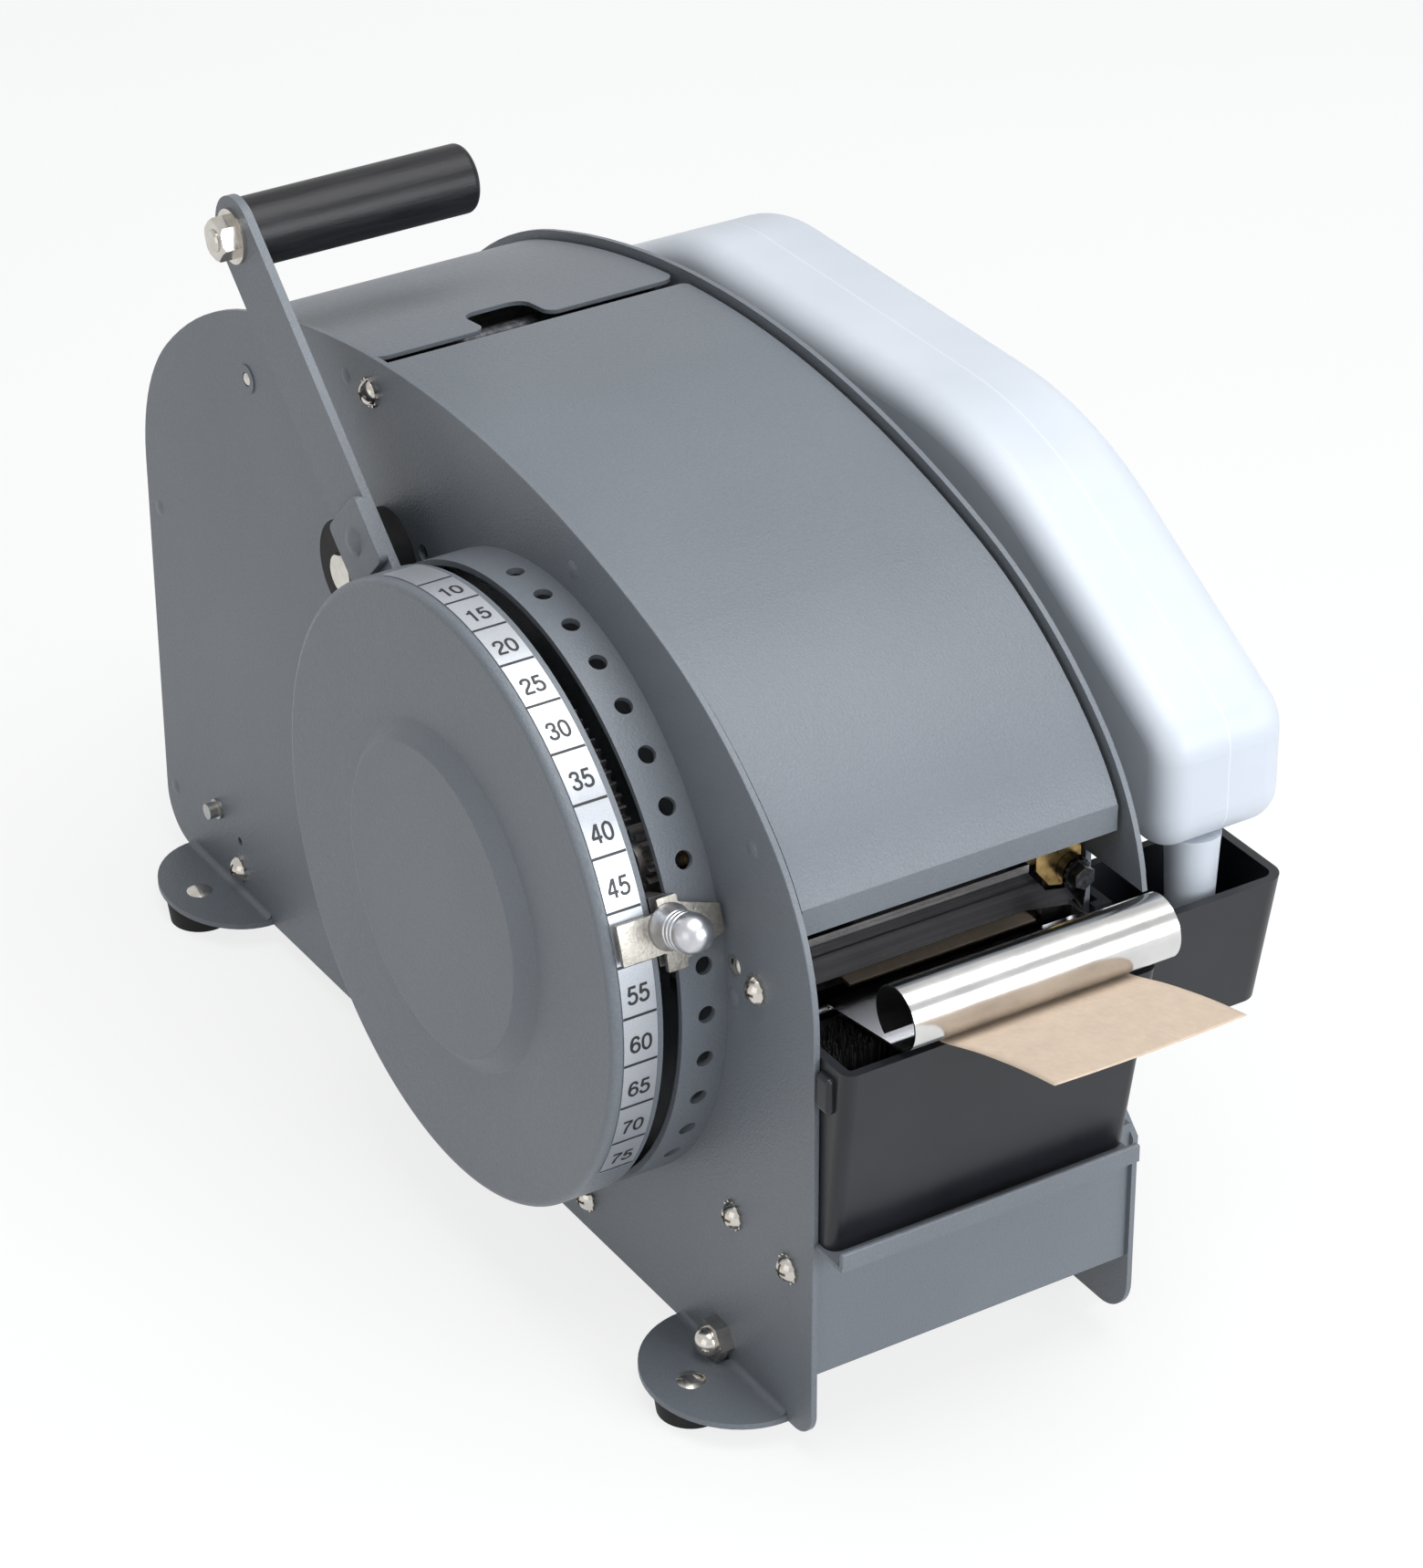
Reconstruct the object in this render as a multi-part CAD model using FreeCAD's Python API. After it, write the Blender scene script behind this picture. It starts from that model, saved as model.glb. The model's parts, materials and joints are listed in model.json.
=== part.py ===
import FreeCAD, Part
import math
import os

os.makedirs("parts", exist_ok=True)

V = FreeCAD.Vector
X_AXIS = V(1, 0, 0)
Y_AXIS = V(0, 1, 0)
Z_AXIS = V(0, 0, 1)

# The model is built about the dial axis, which runs along X. X is 0 on the outer face of the
# left plate and grows to the operator's right, -Y is the front and +Z is up.

# Side plates
plate_t = 2.1
inside_width = 119.6
back_y = 291.5
hood_start_z = 19.8
hood_arcs = ((75.4, 45.8), (167.3, 25.0), (416.7, 37.7), (171.4, 25.9), (83.8, 45.6))
bottom_z = -136.4
front_corner_r = 10.0
right_corner_r = 14.0
back_corner_r = 18.0
edge_round = 0.4
foot_bend_r = 2.5
front_foot = {"y": -107.0, "half": 32.5, "reach": 30.0, "screw_x": -16.0}
right_front_foot = {"y": -101.3, "half": 32.5, "reach": 28.0, "screw_x": -16.0}
back_foot = {"y": back_y - back_corner_r - 32.7, "half": 32.5, "reach": 26.0, "screw_x": -13.4}
foot_pad_r = 12.5
foot_pad_h = 9.0
foot_rivet_r = 4.8
foot_rivet_h = 1.4

left_in = plate_t
right_in = plate_t + inside_width
right_out = right_in + plate_t
side_gap = 1.8

# Front notch of the right plate, where the tank passes through
notch_top_z = 27.0
notch_low_z = -58.0
notch_back_y = -121.9
tab_chamfer = 7.0

# Cover and lid
cover_inset = 3.0
cover_t = 1.5
cover_back_y = 112.6
cover_fold_z = 52.6
cover_lip_h = 8.7
cover_pin = (-118.4, 64.9)
lid_front_y = 118.7
lid_low_z = 12.0
lid_corner_r = 5.5
lid_pin = (282.5, 2.8)
lid_notch_middle = left_in + 0.468 * inside_width
lid_notch_w = 24.0
lid_notch_depth = 18.4
lid_notch_r = 6.0
lid_mouth_r = 4.5
hinge_pin_r = 2.5
running_gap = 0.05
ear_t = 2.0
ear_r = 7.0

# Dial housing
dial_r = 104.5
ring_t = 2.1
ring_w = 16.7
hole_r = 3.0
hole_x = -7.8
hole_step = 9.386
first_hole_a = 94.37
hole_count = 15
rest_hole = 8
gap_w = 7.0
cover_rim_r = 104.8
cover_rim_w = 17.8
cover_wall = 2.0
cover_edge_r = 2.7
boss_r = 59.6
boss_top_r = 52.9
boss_h = 5.0
label_t = 0.3
label_seat = 0.15
label_x = (-37.9, -25.9)
label_start_a = 112.0
label_end_a = -33.0
post_r = 10.0

# Lever
lever_t = 3.0
lever_x = -21.8
lever_dir = 43.4
lever_offset = 4.2
lever_len = 230.9
lever_w = 26.8
lever_stop_a = 118.2
hub_r = 16.0
lever_disc_r = 27.0
stiffener = {"low": 106.8, "high": 131.0, "rivet": 119.7}
stiffener_rivet_r = 5.2
grip_r = 12.0
grip_end_x = 65.4
grip_bolt_r = 4.0
grip_washer_r = 9.4
grip_washer_t = 1.5
grip_nut_flats = 13.0
grip_nut_h = 6.0
bumper_r = 17.2
bumper_dir = 31.5
bumper_bolt_along = 116.0
bumper_bolt_flats = 13.0
bumper_bolt_h = 6.1
contact_gap = 0.3

# Gears
module = 1.25
main_teeth = 120
pinion_teeth = 15
pressure_angle = math.radians(25.0)
gear_w = 8.0
gear_x = -15.0
backlash = 0.14

# Selector
selector_a = first_hole_a - hole_step * rest_hole
arm_t = 1.5
arm_w = 12.0
pointer_t = 1.8
pointer_lift = 1.8
pointer_stem_x = (-37.5, -17.0)
pointer_stem_a = (15.2, 22.1)
pointer_tab_x = (-22.4, -15.4)
pointer_tab_a = (11.8, 24.3)
pointer_lobe_end_x = -1.5
pointer_lobe_a = ((13.2, 22.9), (15.7, 20.5))
pointer_round = 0.5
block_a = (12.3, 24.3)
block_r = 94.0
knob_x = -19.6
knob_r = 6.4
knob_flare_r = 7.6
knob_len = 13.9
knob_stud_r = 2.0

# Feed train and tape
tape_w = 70.0
tape_x = right_in - 85.3
tape_t = 0.25
tape_z = 3.6
nip_gap = 0.3
feed_r = 38.15
feed_shaft_r = 6.0
feed_x = (tape_x + 5.6, tape_x + 63.6)
press_r = 12.0
press_axle_r = 3.0
roll_r = 100.0
core_r = 19.5
core_hole_r = 16.0
roller_r = 9.0
roller_axle_r = 3.0
axle_washer_r = 3.9
axle_out = 5.0
back_roller = (248.3, -107.0)
front_roller = (112.0, -107.0)

# The feed roller stands above the tape, in mesh with the main gear
bushing_wall = 2.0
gear_distance = module * (main_teeth + pinion_teeth) / 2
feed_z = tape_z + tape_t + nip_gap + feed_r
feed_y = -math.sqrt(gear_distance ** 2 - feed_z ** 2)
press_z = tape_z - nip_gap - press_r

# Shear, curl plate and brush
blade_t = 3.0
fixed_blade_y = -117.8
blade_frame_top = 28.0
blade_bar_low = 25.2
blade_post_w = 8.0
pivot_x = right_in - 5.5
pivot_z = 22.0
pivot_r = 3.0
pivot_ear_r = 5.2
pivot_ear_t = 3.3
pivot_washer_r = 5.1
pivot_head_r = 4.1
pivot_head_h = 3.7
curl_tube_r = 10.66
curl_sheet_t = 0.7
curl_x = (23.0, right_in - 0.5)
curl_tube_at = (-162.4, 20.9)
curl_back = (-123.3, 4.55)
curl_slit_a = (-84.0, -56.0)
curl_rod = (-124.0, 2.9)
curl_rod_r = 1.0
curl_ear_r = 1.8
curl_ear_t = 1.2
strip_tip = (-225.6, 27.4)
strip_bend = (-201.6, 21.8)
strip_start_y = -127.5

# Tank and shelf
tank_rim_z = 8.9
tank_wall = 3.1
tank_front_y = -167.2
tank_back_y = -123.6
tank_left_x = left_in + 0.3
tank_right_x = right_in - 3.6
tank_draft = 4.5
tank_corner_r = 4.3
well_corner_r = 7.0
clip_front_y = -160.5
clip_z = (-8.0, 5.0)
clip_round = 1.6
shelf_z = -60.0
arm_front_y = -145.3
arm_back_y = -104.0
arm_right_x = right_out + 60.7
arm_low_z = -38.7
panel_y = -151.0
panel_low_z = -111.8
panel_t = 1.5
lip_x = (1.0, right_in - 8.7)
lip_h = 5.0
lip_y = -167.9
lip_t = 2.0
lip_round = 0.8

# Bottle
bottle_x = (right_out + 13.7, right_out + 62.2)
bottle_edge_r = 10.0
bottle_low_z = 25.0
bottle_top_z = 130.2
bottle_front_y = -141.0
neck_at = (right_out + 33.7, -129.6)
neck_r = 9.2
neck_tip_r = 7.7
neck_low_z = -8.0
bracket_places = (-70.0, 170.0)
bracket_len = 30.0

# Pan, panels and bars
pan_z = -134.0
pan_flange_h = 16.0
bar_r = 3.5
back_panel_y = 286.0
back_panel_top_z = 7.5
guide_foot_w = 12.0
guide_half = 55.0
guide_top_half = 30.0
guide_low_h = 30.0
guide_h = 62.0
pan_front_y = -112.0

# Fasteners: (y, z) on the left plate
screw_spots = ((114.8, 119.8), (232.8, -125.0), (-121.0, 16.4), (-107.8, -75.4),
               (-139.7, -76.4), (-16.6, -123.1))
flush_spots = ((131.9, 118.6), (-14.4, 112.8), (284.2, -115.8), (-107.4, 6.4))
bright_spots = ((-107.8, 18.25), (205.1, 86.8))
spare_holes = ((82.7, 74.6, 3.0), (232.1, -113.0, 1.6))
dome_nut_spot = (-100.5, -127.5)
dome_nut_r = 7.5
dome_nut_h = 5.0
dome_cap_r = 5.0
screw_head_r = 4.6
screw_r = 2.4
washer_r = 5.3
rivet_r = 3.1
rivet_h = 0.6
bright_rivets_r = (3.7, 2.6)
bright_rivet_h = 1.1
rivet_ring_r = 5.2


def deg_point(a, r, x):
    """Point at dial angle a, measured from the front over the top, at radius r."""
    t = math.radians(a)
    return V(x, -r * math.cos(t), r * math.sin(t))


def box(x0, x1, y0, y1, z0, z1):
    return Part.makeBox(x1 - x0, y1 - y0, z1 - z0, V(x0, y0, z0))


def rod_x(y, z, r, x0, x1):
    return Part.makeCylinder(r, x1 - x0, V(x0, y, z), X_AXIS)


def tube_x(y, z, r_out, r_in, x0, x1):
    return rod_x(y, z, r_out, x0, x1).cut(rod_x(y, z, r_in, x0 - 1, x1 + 1))


def rod_y(x, z, r, y0, y1):
    return Part.makeCylinder(r, y1 - y0, V(x, y0, z), Y_AXIS)


def rod_z(x, y, r, z0, z1):
    return Part.makeCylinder(r, z1 - z0, V(x, y, z0), Z_AXIS)


def slab_yz(points, x0, x1):
    """Polygon of (y, z) points, thickened from x0 to x1."""
    corners = [V(x0, y, z) for y, z in points]
    face = Part.Face(Part.makePolygon(corners + corners[:1]))
    return face.extrude(V(x1 - x0, 0, 0))


def slab_xz(points, y0, y1):
    corners = [V(x, y0, z) for x, z in points]
    face = Part.Face(Part.makePolygon(corners + corners[:1]))
    return face.extrude(V(0, y1 - y0, 0))


def fused(shapes):
    whole = shapes[0]
    for shape in shapes[1:]:
        whole = whole.fuse(shape)
    return whole.removeSplitter()


def sector(r0, r1, a0, a1, x0, x1):
    """Piece of a ring between two radii and two dial angles."""
    mid = (a0 + a1) / 2
    edges = [
        Part.LineSegment(deg_point(a0, r0, x0), deg_point(a0, r1, x0)).toShape(),
        Part.Arc(deg_point(a0, r1, x0), deg_point(mid, r1, x0), deg_point(a1, r1, x0)).toShape(),
        Part.LineSegment(deg_point(a1, r1, x0), deg_point(a1, r0, x0)).toShape(),
        Part.Arc(deg_point(a1, r0, x0), deg_point(mid, r0, x0), deg_point(a0, r0, x0)).toShape(),
    ]
    return Part.Face(Part.Wire(edges)).extrude(V(x1 - x0, 0, 0))


def hexagon_x(y, z, corner_r, x0, x1, turn=0.0):
    points = []
    for i in range(6):
        t = math.radians(60 * i + turn)
        points.append((y + corner_r * math.cos(t), z + corner_r * math.sin(t)))
    return slab_yz(points, x0, x1)


def largest_fillet(shape, radius, edges):
    try:
        return shape.makeFillet(radius, edges)
    except Part.OCCError:
        return shape.makeFillet(radius / 2, edges)


def hood_path(inset):
    """Tangent arcs from the back of the plate over the top to its front, moved inwards."""
    y, z = back_y - inset, hood_start_z
    heading = math.radians(90)
    pieces = []
    for radius, sweep in hood_arcs:
        r = radius - inset
        turn = math.radians(sweep)
        cy = y - r * math.sin(heading)
        cz = z + r * math.cos(heading)
        points = []
        for part in (0.0, 0.5, 1.0):
            t = heading + turn * part
            points.append((cy + r * math.sin(t), cz - r * math.cos(t)))
        pieces.append(points)
        y, z = points[2]
        heading += turn
    return pieces


front_y = hood_path(0)[-1][2][0]


def hood_face(inset, low_z, x):
    """Plate outline with its lower edge cut straight at low_z."""
    pieces = hood_path(inset)
    start = pieces[0][0]
    end = pieces[-1][2]
    edges = [Part.LineSegment(V(x, start[0], low_z), V(x, start[0], start[1])).toShape()]
    for points in pieces:
        p0, p1, p2 = [V(x, y, z) for y, z in points]
        edges.append(Part.Arc(p0, p1, p2).toShape())
    edges.append(Part.LineSegment(V(x, end[0], end[1]), V(x, end[0], low_z)).toShape())
    edges.append(Part.LineSegment(V(x, end[0], low_z), V(x, start[0], low_z)).toShape())
    return Part.Face(Part.Wire(edges))


def hood_solid(inset, low_z, x0, x1):
    return hood_face(inset, low_z, x0).extrude(V(x1 - x0, 0, 0))


def foot_flange(foot, side):
    """Half-round flange bent out from the plate's lower edge; side is -1 left, +1 right."""
    x_edge = 0.0 if side < 0 else right_out
    disc = Part.makeCylinder(foot["half"], plate_t, V(0, 0, bottom_z), Z_AXIS)
    squeeze = FreeCAD.Matrix()
    squeeze.A11 = foot["reach"] / foot["half"]
    squeeze.A14 = x_edge
    squeeze.A24 = foot["y"]
    flange = disc.transformGeometry(squeeze)
    far = x_edge + side * (foot["reach"] + 1)
    keep_x = sorted((x_edge - side * plate_t, far))
    keep = box(keep_x[0], keep_x[1], foot["y"] - foot["half"], foot["y"] + foot["half"],
               bottom_z - 1, bottom_z + plate_t + 1)
    flange = fused([flange.common(keep), foot_bend(foot, side, x_edge)])
    screw_x = foot_screw_x(foot, side)
    return flange.cut(rod_z(screw_x, foot["y"], foot_rivet_r / 2, bottom_z - 1, bottom_z + 5))


def foot_bend(foot, side, x_edge):
    """Hollow round where the flange turns up into the plate."""
    top = bottom_z + plate_t
    y0, y1 = foot["y"] - foot["half"] + 1, foot["y"] + foot["half"] - 1
    x0, x1 = sorted((x_edge - side * plate_t, x_edge + side * foot_bend_r))
    fill = box(x0, x1, y0, y1, top - 1, top + foot_bend_r)
    nut_x = sorted((x_edge, x_edge + side * (foot_bend_r + 1)))
    fill = fill.cut(rod_x(dome_nut_spot[0], dome_nut_spot[1], dome_nut_r + contact_gap, *nut_x))
    return fill.cut(rod_y(x_edge + side * foot_bend_r, top + foot_bend_r, foot_bend_r, y0 - 1, y1 + 1))


def side_feet(side):
    return (front_foot if side < 0 else right_front_foot, back_foot)


def foot_screw_x(foot, side):
    return foot["screw_x"] if side < 0 else right_out - foot["screw_x"]


def plate_holes():
    """Every hole both plates share: (y, z, radius)."""
    holes = [(y, z, screw_r) for y, z in screw_spots]
    holes += [(y, z, hinge_pin_r) for y, z in flush_spots + bright_spots]
    holes += list(spare_holes)
    holes += [(cover_pin[0], cover_pin[1], hinge_pin_r), (lid_pin[0], lid_pin[1], hinge_pin_r)]
    holes += [(back_roller[0], back_roller[1], roller_axle_r)]
    holes += [(front_roller[0], front_roller[1], roller_axle_r)]
    holes += [(dome_nut_spot[0], dome_nut_spot[1], screw_r)]
    holes += [(feed_y, feed_z, feed_shaft_r + bushing_wall)]
    holes += [(feed_y, press_z, press_axle_r)]
    return holes


def side_plate(side):
    x0 = 0.0 if side < 0 else right_in
    plate = hood_solid(0, bottom_z, x0, x0 + plate_t)
    front_r = front_corner_r if side < 0 else right_corner_r
    for y, radius in ((back_y, back_corner_r), (front_y, front_r)):
        corner = [e for e in plate.Edges if abs(e.CenterOfMass.y - y) < 0.01
                  and abs(e.CenterOfMass.z - bottom_z) < 0.01 and abs(e.Length - plate_t) < 0.01]
        plate = plate.makeFillet(radius, corner)
    outer_x = 0.0 if side < 0 else right_out
    outline = [e for e in plate.Edges if abs(e.BoundBox.XMin - outer_x) < 0.01
               and abs(e.BoundBox.XMax - outer_x) < 0.01]
    plate = plate.makeFillet(edge_round, outline)
    for y, z, r in plate_holes():
        plate = plate.cut(rod_x(y, z, r, x0 - 1, x0 + plate_t + 1))
    if side > 0:
        plate = plate.cut(tank_notch(x0))
    for foot in side_feet(side):
        plate = plate.fuse(foot_flange(foot, side))
    return plate.removeSplitter()


def tank_notch(x0):
    ahead = front_y - 5
    low = notch_low_z
    points = [(ahead, notch_top_z), (notch_back_y, notch_top_z), (notch_back_y, low),
              (front_y + tab_chamfer, low), (front_y, low - tab_chamfer), (ahead, low - tab_chamfer)]
    return slab_yz(points, x0 - 1, x0 + plate_t + 1)


def hinge_ear(pin, points, x0):
    """Flat ear under a cover, with a running bore on its pin."""
    disc = rod_x(pin[0], pin[1], ear_r, x0, x0 + ear_t)
    web = slab_yz(points, x0, x0 + ear_t)
    limit = hood_solid(cover_inset + cover_t / 2, bottom_z, x0, x0 + ear_t)
    ear = disc.fuse(web.common(limit))
    return ear.cut(rod_x(pin[0], pin[1], hinge_pin_r + running_gap, x0 - 1, x0 + ear_t + 1))


def ear_places():
    return (left_in + side_gap, right_in - side_gap - ear_t)


def curved_sheet():
    """The sheet that covers the whole top between the plates, before it is divided."""
    x0, x1 = left_in + side_gap, right_in - side_gap
    outer = hood_solid(cover_inset, -50, x0, x1)
    inner = hood_solid(cover_inset + cover_t, -60, x0 - 1, x1 + 1)
    return outer.cut(inner)


def front_cover():
    x0, x1 = left_in + side_gap, right_in - side_gap
    arc = curved_sheet().common(box(x0 - 1, x1 + 1, front_y - 5, cover_back_y, cover_fold_z, 200))
    fold_y = min(v.Point.y for v in arc.Vertexes)
    lip = box(x0, x1, fold_y, fold_y + cover_t, cover_fold_z - cover_lip_h, cover_fold_z + 0.5)
    pin_y, pin_z = cover_pin
    web = [(pin_y - 5, pin_z - 5), (fold_y + 1, cover_fold_z + 1), (fold_y - 1, cover_fold_z + 6),
           (pin_y - 4, pin_z + 30), (pin_y + 22, pin_z + 32), (pin_y + 7, pin_z)]
    ears = [hinge_ear(cover_pin, web, x) for x in ear_places()]
    cover = fused([arc, lip] + ears)
    corner = [e for e in cover.Edges if abs(e.CenterOfMass.y - cover_back_y) < 0.8
              and abs(e.CenterOfMass.x - x1) < 0.1 and e.Length < cover_t * 1.2]
    return largest_fillet(cover, 3.0, corner)


def lid_cover():
    x0, x1 = left_in + side_gap, right_in - side_gap
    arc = curved_sheet().common(box(x0 - 1, x1 + 1, lid_front_y, back_y + 5, lid_low_z, 200))
    top_z = max(v.Point.z for v in arc.Vertexes)
    corner = [e for e in arc.Edges if abs(e.CenterOfMass.y - lid_front_y) < 0.1
              and e.Length < cover_t * 1.2]
    arc = largest_fillet(arc, lid_corner_r, corner)
    pin_y, pin_z = lid_pin
    wall_y = back_y - cover_inset
    web = [(pin_y - ear_r, pin_z), (wall_y - cover_t / 2, pin_z), (wall_y, lid_low_z + 1),
           (wall_y + 1, lid_low_z + 40), (pin_y - ear_r, lid_low_z + 20)]
    ears = [hinge_ear(lid_pin, web, x) for x in ear_places()]
    lid = fused([arc] + ears)
    return lid.cut(finger_notch(top_z))


def finger_notch(top_z):
    """Half-open notch in the lid's front edge, round at its inner corners and at its mouth."""
    x0, x1 = lid_notch_middle - lid_notch_w / 2, lid_notch_middle + lid_notch_w / 2
    y1 = lid_front_y + lid_notch_depth
    r = lid_notch_r
    low, high = top_z - 30, top_z + 10
    mouth = box(x0 - lid_mouth_r, x1 + lid_mouth_r, lid_front_y - 5, lid_front_y + lid_mouth_r,
                low, high)
    for x in (x0 - lid_mouth_r, x1 + lid_mouth_r):
        mouth = mouth.cut(rod_z(x, lid_front_y + lid_mouth_r, lid_mouth_r, low - 1, high + 1))
    body = box(x0, x1, lid_front_y - 5, y1 - r, low, high)
    middle = box(x0 + r, x1 - r, lid_front_y - 5, y1, low, high)
    rounds = [rod_z(x, y1 - r, r, low, high) for x in (x0 + r, x1 - r)]
    return fused([body, middle, mouth] + rounds)


def dial_ring():
    ring = tube_x(0, 0, dial_r, dial_r - ring_t, -ring_w, 0)
    for i in range(hole_count):
        a = first_hole_a - hole_step * i
        start = deg_point(a, dial_r - ring_t - 5, hole_x)
        outwards = deg_point(a, 1, 0)
        ring = ring.cut(Part.makeCylinder(hole_r, ring_t + 10, start, outwards))
    return ring


rim_x = -(ring_w + gap_w)
face_x = rim_x - cover_rim_w


def dial_cover():
    outer = rod_x(0, 0, cover_rim_r, face_x, rim_x)
    outer = outer.makeFillet(cover_edge_r, [e for e in outer.Edges
                                            if abs(e.CenterOfMass.x - face_x) < 0.01])
    boss = Part.makeCone(boss_r, boss_top_r, boss_h, V(face_x, 0, 0), V(-1, 0, 0))
    boss = boss.makeFillet(1.5, [e for e in boss.Edges
                                 if abs(e.CenterOfMass.x - face_x + boss_h) < 0.01])
    inner = rod_x(0, 0, cover_rim_r - cover_wall, face_x + cover_wall, rim_x + 1)
    hollow = Part.makeCone(boss_r - cover_wall, boss_top_r - cover_wall, boss_h,
                           V(face_x + cover_wall + 0.01, 0, 0), V(-1, 0, 0))
    return fused([outer, boss]).cut(inner).cut(hollow)


def scale_label():
    seat = cover_rim_r + label_seat
    return sector(seat, seat + label_t, label_end_a, label_start_a,
                  label_x[0], label_x[1])


def dial_post():
    end_x = face_x - boss_h + cover_wall + 0.01
    flange = rod_x(0, 0, post_r + 8, -2.5, 0)
    pin = rod_x(0, 0, post_r, end_x, 0)
    cap = rod_x(0, 0, post_r + 14, end_x, end_x + 3)
    return fused([flange, pin, cap])


hub_x = (lever_x, -3.0)


def lever_point(along, across, x=0.0):
    """Point on the lever: along its bar from the dial axis, across it towards the front."""
    t = math.radians(lever_dir)
    y = along * math.cos(t) - across * math.sin(t)
    z = along * math.sin(t) + across * math.cos(t)
    return V(x, y, z)


def lever_strip(low, high, rear, front, x0, x1):
    ends = [(low, rear), (high, rear), (high, front), (low, front)]
    return slab_yz([(lever_point(a, c).y, lever_point(a, c).z) for a, c in ends], x0, x1)


def lever_hub():
    hub = rod_x(0, 0, hub_r, hub_x[0], hub_x[1])
    return hub.cut(rod_x(0, 0, post_r + running_gap, hub_x[0] - 1, hub_x[1] + 1))


grip_at = lever_point(lever_len, lever_offset)


def lever_bar():
    x0, x1 = lever_x, lever_x + lever_t
    half = lever_w / 2
    strip = lever_strip(0, lever_len, lever_offset - half, lever_offset + half, x0, x1)
    tip = rod_x(grip_at.y, grip_at.z, half, x0, x1)
    disc = rod_x(0, 0, lever_disc_r, x0, x1)
    lug = sector(60, dial_r - ring_t - 1.5, lever_stop_a, lever_stop_a + 15, x0, x1)
    bar = fused([strip, tip, disc, lug])
    bar = bar.cut(rod_x(0, 0, hub_r, x0 - 1, x1 + 1))
    bar = bar.cut(rod_x(grip_at.y, grip_at.z, grip_bolt_r, x0 - 1, x1 + 1))
    spot = lever_point(stiffener["rivet"], lever_offset)
    return bar.cut(rod_x(spot.y, spot.z, hinge_pin_r, x0 - 1, x1 + 1))


def lever_stiffener():
    x0, x1 = lever_x - lever_t, lever_x
    half = lever_w / 2
    plate = lever_strip(stiffener["low"], stiffener["high"], lever_offset - half,
                        lever_offset + half, x0, x1)
    corner = [e for e in plate.Edges if abs(e.Length - lever_t) < 0.01]
    plate = plate.makeFillet(2.5, corner)
    rim = [e for e in plate.Edges if abs(e.BoundBox.XMin - x0) < 0.01
           and abs(e.BoundBox.XMax - x0) < 0.01]
    plate = plate.makeFillet(0.5, rim)
    spot = lever_point(stiffener["rivet"], lever_offset)
    return plate.cut(rod_x(spot.y, spot.z, hinge_pin_r, x0 - 1, x1 + 1))


def dome_x(y, z, r, height, x, outwards):
    """Shallow dome of base radius r, standing out along X from the plane at x."""
    ball_r = (r * r + height * height) / (2 * height)
    ball = Part.makeSphere(ball_r, V(x + outwards * (height - ball_r), y, z))
    x_far = x + outwards * (height + 1)
    x0, x1 = sorted((x, x_far))
    return ball.common(rod_x(y, z, r, x0, x1))


def lever_rivet():
    spot = lever_point(stiffener["rivet"], lever_offset)
    shank = rod_x(spot.y, spot.z, hinge_pin_r, lever_x - lever_t, lever_x + lever_t)
    head = dome_x(spot.y, spot.z, stiffener_rivet_r, 1.9, lever_x - lever_t, -1)
    return fused([shank, head])


def grip():
    x0 = lever_x + lever_t + contact_gap
    body = rod_x(grip_at.y, grip_at.z, grip_r, x0, grip_end_x)
    ends = [e for e in body.Edges if e.Length > 10 and abs(e.CenterOfMass.x - grip_end_x) < 0.1]
    body = body.makeFillet(2.5, ends)
    body = body.cut(rod_x(grip_at.y, grip_at.z, grip_bolt_r + running_gap, x0 - 1, grip_end_x + 1))
    recess = rod_x(grip_at.y, grip_at.z, grip_bolt_r * 1.9, grip_end_x - 5, grip_end_x + 1)
    return body.cut(recess)


def grip_bolt():
    tip_x = lever_x - grip_washer_t - grip_nut_h - 1.0
    shank = rod_x(grip_at.y, grip_at.z, grip_bolt_r, tip_x, grip_end_x - 4.5)
    head = rod_x(grip_at.y, grip_at.z, grip_bolt_r * 1.7, grip_end_x - 4.7, grip_end_x - 1.5)
    tip = [e for e in shank.Edges if abs(e.CenterOfMass.x - tip_x) < 0.1]
    return fused([shank.makeChamfer(0.6, tip), head])


def grip_nut():
    y, z = grip_at.y, grip_at.z
    seat_x = lever_x - grip_washer_t
    top_x = seat_x - grip_nut_h
    corner_r = grip_nut_flats / math.sqrt(3)
    washer = tube_x(y, z, grip_washer_r, grip_bolt_r, seat_x, lever_x)
    nut = hexagon_x(y, z, corner_r, top_x, seat_x, 10)
    rounding = Part.makeCone(corner_r - 0.7, corner_r + 5, 8.0, V(top_x, y, z), X_AXIS)
    nut = nut.common(rounding).cut(rod_x(y, z, grip_bolt_r, top_x - 1, seat_x + 1))
    return Part.Compound([washer, nut])


bumper_reach = dial_r + contact_gap + bumper_r
bumper_at = (bumper_reach * math.cos(math.radians(bumper_dir)),
             bumper_reach * math.sin(math.radians(bumper_dir)))
bumper_face_x = lever_x + lever_t + 0.4
bolt_at = lever_point(bumper_bolt_along,
                      lever_offset - lever_w / 2 - contact_gap - bumper_bolt_flats / 2)


def lever_bumper():
    """Rubber disc beside the dial, set off-centre on its bolt."""
    body = rod_x(bumper_at[0], bumper_at[1], bumper_r, bumper_face_x, 0)
    rim = [e for e in body.Edges if e.Length > 10 and abs(e.CenterOfMass.x - bumper_face_x) < 0.1]
    body = body.makeFillet(0.8, rim)
    return body.cut(rod_x(bolt_at.y, bolt_at.z, hinge_pin_r, bumper_face_x - 1, 1))


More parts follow.
